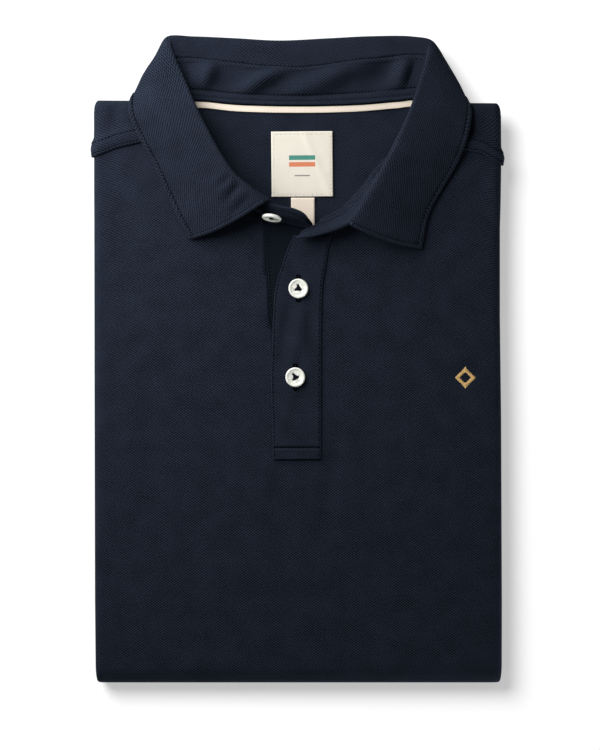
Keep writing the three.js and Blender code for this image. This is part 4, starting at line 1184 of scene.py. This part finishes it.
shell, shell_tree, shell_shader = new_material("pale_shell", 0.32)
shell_shader.inputs["Coat Weight"].default_value = 0.35
shell_shader.inputs["Coat Roughness"].default_value = 0.15
shell_shader.inputs["Subsurface Weight"].default_value = 0.12
shell_shader.inputs["Subsurface Radius"].default_value = (0.002, 0.002, 0.0016)
shell_colour = shell_tree.nodes.new("ShaderNodeValToRGB")
dark_stop, pale_stop = shell_colour.color_ramp.elements
dark_stop.position, dark_stop.color = 0.3, linear(196, 199, 190)
pale_stop.position, pale_stop.color = 0.72, linear(232, 231, 222)
clouds = noise_node(shell_tree, object_place(shell_tree), 260, 4, 1.4)
shell_tree.links.new(clouds, shell_colour.inputs["Fac"])
shell_tree.links.new(shell_colour.outputs["Color"], shell_shader.inputs["Base Color"])


def drilled(name, place):
    """A button with its three holes cut through it, set in its place."""
    blank = add_object(name, mesh_from(button_mesh(), name))
    drill_bm = bmesh.new()
    for spot in hole_places():
        bmesh.ops.create_cone(
            drill_bm, cap_ends=True, segments=24, radius1=HOLE_RADIUS, radius2=HOLE_RADIUS, depth=8,
            matrix=Matrix.Translation(spot + Vector((0, 0, BUTTON_THICK / 2))),
        )
    drill = add_object("drill", mesh_from(drill_bm, "drill"))
    cut = blank.modifiers.new("holes", "BOOLEAN")
    cut.object = drill
    cut.operation = "DIFFERENCE"
    bpy.context.view_layer.update()
    finished = bpy.data.meshes.new_from_object(blank.evaluated_get(bpy.context.evaluated_depsgraph_get()))
    bpy.data.objects.remove(blank)
    bpy.data.objects.remove(drill)
    finished.transform(place)
    finished.name = name
    finished.materials.clear()
    finished.materials.append(shell)
    finished.shade_smooth()
    button = add_object(name, finished)
    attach(button, "root")
    return button


STRAND_Z = 2.16
STRAND_SHIFTS = (-0.15, 0.4)
button_thread = bmesh.new()


def tie_on(place):
    """Three double strands of thread from hole to hole."""
    spots = hole_places()
    up = Vector((0, 0, 1))
    for a, b in zip(spots, spots[1:] + spots[:1]):
        along = (b - a).normalized()
        side = up.cross(along)
        turn = place.to_3x3().to_4x4() @ facing(along, side, up)
        for shift in STRAND_SHIFTS:
            middle = place @ ((a + b) / 2 + side * shift + up * STRAND_Z)
            bead(button_thread, middle, ((b - a).length / 2 + 0.15, 0.5, 0.32), turn, (10, 6))


def in_metres(place):
    """The same placement, for a mesh in metres."""
    moved = place.copy()
    moved.translation = place.translation * MM
    return moved


BUTTON_LIFT = 0.3
for name, (x, y, turn) in BUTTON_PLACES.items():
    place = Matrix.Translation((x, y, CHEST_Z + placket_height(x, y) + BUTTON_LIFT))
    place = place @ Matrix.Rotation(math.radians(turn), 4, "Z")
    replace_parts(drilled(f"{name}_shell", in_metres(place)), name)
    tie_on(place)

COLLAR_BUTTON_AT = 3.05 / STAND_SPANS
COLLAR_BUTTON_AWAY = 1.8  # its thread lets it hang off the stand, facing forward
COLLAR_BUTTON_FACING = Vector((-0.16, -0.95, 0.22))
outward = stand_outward(COLLAR_BUTTON_AT)
middle = smooth_through(stand_seam, COLLAR_BUTTON_AT).lerp(smooth_through(stand_top, COLLAR_BUTTON_AT), 0.5)
middle += outward * (STAND_BOW + STAND_WALL / 2 + COLLAR_BUTTON_AWAY)
turned = Vector((0, 0, 1)).rotation_difference(COLLAR_BUTTON_FACING.normalized())
place = Matrix.Translation(middle) @ turned.to_matrix().to_4x4()
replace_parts(drilled("button_collar_shell", in_metres(place)), "button_collar")
tie_on(place)
add_piece(button_thread, "button_threads", dyed_thread("button_thread", linear(16, 18, 26)))

# Neck tape
# A cream twill tape, about 4 mm of it showing, sewn over the back neck seam from shoulder to shoulder.
TRIM_WALL = 0.9
TRIM_GAP = 0.3
TRIM_TOP_Z = INSIDE_Z + TRIM_GAP + TRIM_WALL
TAPE_FROM, TAPE_TO = 8.62 / STAND_SPANS, 15.2 / STAND_SPANS
TAPE_LONG, TAPE_WIDE = 158, 5


def cream_weave(name, base, dark, ribs, depth):
    """Cream woven trim: fine ribs across, with painted shade in their hollows and a slight random soil."""
    material, tree, shader = new_material(name, 0.8)
    shader.inputs["Sheen Weight"].default_value = 0.15
    place, across, along = cloth_place(tree)
    turn = 2 * math.pi / (ribs * MM)
    warp, weft = (math_node(tree, "SINE", math_node(tree, "MULTIPLY", way, turn)) for way in (across, along))
    height = math_node(tree, "ADD", math_node(tree, "MULTIPLY", warp, 0.25), 0.5)
    height = math_node(tree, "ADD", height, math_node(tree, "MULTIPLY", weft, 0.25))
    add_bump(tree, shader, height, 0.5, depth)
    soil = math_node(tree, "MULTIPLY", noise_node(tree, place, 90), 0.5)
    # Painted shade: the colour darkens with the height of the ribs, in their hollows, and the soil is added
    # at random.
    shade = math_node(tree, "ADD", math_node(tree, "MULTIPLY", height, 0.7), soil)
    tree.links.new(colour_blend(tree, shade, dark, base), shader.inputs["Base Color"])
    return material


cream_tape = cream_weave("cream_tape", linear(220, 208, 192), linear(186, 172, 158), 0.7, 0.08)


def tape_point(t, share):
    seam = smooth_through(stand_seam, between(TAPE_FROM, TAPE_TO, t))
    x = seam.x * between(1, 0.985, share)
    y = seam.y - between(0.9, TAPE_WIDE, share)
    return Vector((x, y, TRIM_TOP_Z + 0.12 * math.sin(math.pi * share)))


bm = cloth_grid(shares(120), shares(8), tape_point, lambda t, share: (TAPE_LONG * t, TAPE_WIDE * share))
bmesh.ops.reverse_faces(bm, faces=bm.faces)
tape = add_piece(bm, "neck_tape_cloth", cream_tape)
thicken(tape, TRIM_WALL, -1)
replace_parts(tape, "neck_tape")

# Neck label
# A square woven label, stitched all round with its own cream thread. It bears two plain woven stripes.
LABEL_X, LABEL_Y, LABEL_WIDE, LABEL_HIGH, LABEL_TURN = 3.0, 126.9, 40.0, 42.6, 0.5
label_weave = cream_weave("label_weave", linear(206, 201, 189), linear(186, 180, 167), 0.55, 0.05)


def label_point(across, up):
    x, y = (across - 0.5) * LABEL_WIDE, (up - 0.5) * LABEL_HIGH
    turn = math.radians(LABEL_TURN)
    edge = min(across, 1 - across, up, 1 - up) * LABEL_WIDE
    rise = ridge(edge, 1.6, 0.4, -0.1) - 0.25 * max(0, 1 - edge / 0.5)
    rise += 0.25 * math.exp(-(((across - 0.7) * 2.2 + (up - 0.6)) ** 2) / 0.02)
    return Vector((
        LABEL_X + x * math.cos(turn) - y * math.sin(turn),
        LABEL_Y + x * math.sin(turn) + y * math.cos(turn),
        TRIM_TOP_Z + rise,
    ))


label_stations = fine_ends(LABEL_WIDE, [0, 0.4, 0.9, 1.3, 1.6, 1.9, 2.5], 34)
bm = cloth_grid(
    label_stations, label_stations, label_point,
    lambda across, up: ((across - 0.5) * LABEL_WIDE, (up - 0.5) * LABEL_HIGH),
)
label = add_piece(bm, "neck_label_cloth", label_weave)
thicken(label, TRIM_WALL, -1)
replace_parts(label, "neck_label")


def woven_stripe(material, colour, middle, half_long, half_wide):
    """A stripe woven into a label, as a change of its colour between two pairs of edges on the cloth map."""
    tree = material.node_tree
    base = tree.nodes["Principled BSDF"].inputs["Base Color"]
    _, across, along = cloth_place(tree)
    off_x = math_node(tree, "ABSOLUTE", across)
    off_y = math_node(tree, "ABSOLUTE", math_node(tree, "SUBTRACT", along, middle * MM))
    in_length = math_node(tree, "LESS_THAN", off_x, half_long * MM)
    in_width = math_node(tree, "LESS_THAN", off_y, half_wide * MM)
    within = math_node(tree, "MULTIPLY", in_length, in_width)
    tree.links.new(colour_blend(tree, within, base.links[0].from_socket, colour), base)


woven_stripe(label_weave, linear(52, 118, 104), 4.2, 8.5, 1.5)
woven_stripe(label_weave, linear(186, 108, 74), -0.2, 8.5, 1.5)
woven_stripe(label_weave, linear(120, 118, 112), -7.5, 5.0, 0.45)

label_rows = bmesh.new()
corners = [(0.04, 0.04), (0.96, 0.04), (0.96, 0.96), (0.04, 0.96), (0.04, 0.04)]
label_path = [
    label_point(between(a[0], b[0], t), between(a[1], b[1], t)) + Vector((0, 0, 0.04))
    for a, b in zip(corners, corners[1:]) for t in shares(130)
]
sew(label_rows, label_path, [Vector((0, 0, 1))] * len(label_path), stitch=1.5, pause=0.9, radius=0.22)
add_piece(label_rows, "label_stitches", dyed_thread("cream_thread", linear(212, 204, 188)))

# Size tab
# A small tab of the same cream tape, caught under the lower edge of the label. It is bare.
TAB_X, TAB_WIDE, TAB_TOP, TAB_FOOT = 3.5, 15.4, 105.0, 84.6


def tab_point(across, up):
    wave = 0.12 * math.sin(5 * up + 2 * across)
    x, y = TAB_X + (across - 0.5) * TAB_WIDE, between(TAB_FOOT, TAB_TOP, up)
    return Vector((x, y, TRIM_TOP_Z - 0.1 + wave))


bm = cloth_grid(shares(14), shares(18), tab_point, lambda across, up: (across * TAB_WIDE, 20 * up))
tab = add_piece(bm, "size_tab_cloth", cream_tape)
thicken(tab, TRIM_WALL, -1)
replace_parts(tab, "size_tab")

# Chest embroidery
# A small plain lozenge on the wearer's left chest, in gold satin stitch: rows of thread laid side by side.
MARK_X, MARK_Y, MARK_HALF = 109.1, -12.1, 7.1
MARK_INNER = 3.4
MARK_THREADS = 30
gold_thread = dyed_thread("gold_thread", linear(214, 176, 112))
gold_shader = gold_thread.node_tree.nodes["Principled BSDF"]
gold_shader.inputs["Roughness"].default_value = 0.38
gold_shader.inputs["Sheen Weight"].default_value = 0.35
mark_rows = bmesh.new()
for k in range(MARK_THREADS):
    y = between(-MARK_HALF, MARK_HALF, (k + 0.5) / MARK_THREADS)
    reach = MARK_HALF - abs(y)
    hole = max(0.0, MARK_INNER - abs(y))
    spans = [(-reach, reach)] if hole < 0.2 else [(-reach, -hole), (hole, reach)]
    for start, end in spans:
        x = MARK_X + (start + end) / 2
        z = CHEST_Z + crease_height(x, MARK_Y + y) + 0.12
        bead(mark_rows, Vector((x, MARK_Y + y, z)), (max(0.35, (end - start) / 2), 0.27, 0.4))
add_piece(mark_rows, "chest_embroidery", gold_thread)

# Surface and light
# A plain white surface and an even white surround. The cloth has a low soft light from the upper left and a
# faint, almost level one from the lower right. The surface has a high one, for the shirt's short shadow.
SURFACE_HALF = 2500
SURFACE_LOWER = 0.0002
bm = bmesh.new()
bmesh.ops.create_grid(bm, x_segments=1, y_segments=1, size=SURFACE_HALF)
surface = add_object("surface", mesh_from(bm, "surface"))
surface.location = (0, 0, -SURFACE_LOWER)
white, _, white_shader = new_material("white_surface", 0.9)
white_shader.inputs["Base Color"].default_value = (0.86, 0.86, 0.86, 1)
white_shader.inputs["Emission Color"].default_value = (1, 1, 1, 1)
white_shader.inputs["Emission Strength"].default_value = 0.44
surface.data.materials.append(white)

world = bpy.data.worlds.new("surround")
world.use_nodes = True
world.node_tree.nodes["Background"].inputs["Color"].default_value = (1, 1, 1, 1)
world.node_tree.nodes["Background"].inputs["Strength"].default_value = 0.13
bpy.context.scene.world = world


def soft_light(name, place, size, watts):
    lamp = bpy.data.lights.new(name, "AREA")
    lamp.shape = "DISK"
    lamp.size = size
    lamp.energy = watts
    light = add_object(name, lamp)
    light.location = place
    light.rotation_euler = (-Vector(place)).to_track_quat("-Z", "Y").to_euler()
    return light


key_light = soft_light("key_light", (-0.36, 0.34, 0.32), 0.6, 8.5)
edge_light = soft_light("edge_light", (0.85, -0.85, 0.09), 0.5, 13)
surface_light = soft_light("surface_light", (-1.19, 1.31, 2.0), 1.6, 67)

# The two low lights leave out the surface, and the high one lights nothing else
for light, state in ((key_light, "EXCLUDE"), (edge_light, "EXCLUDE"), (surface_light, "INCLUDE")):
    lit = bpy.data.collections.new(f"{light.name}_lights")
    lit.objects.link(surface)
    lit.collection_objects[0].light_linking.link_state = state
    light.light_linking.receiver_collection = lit
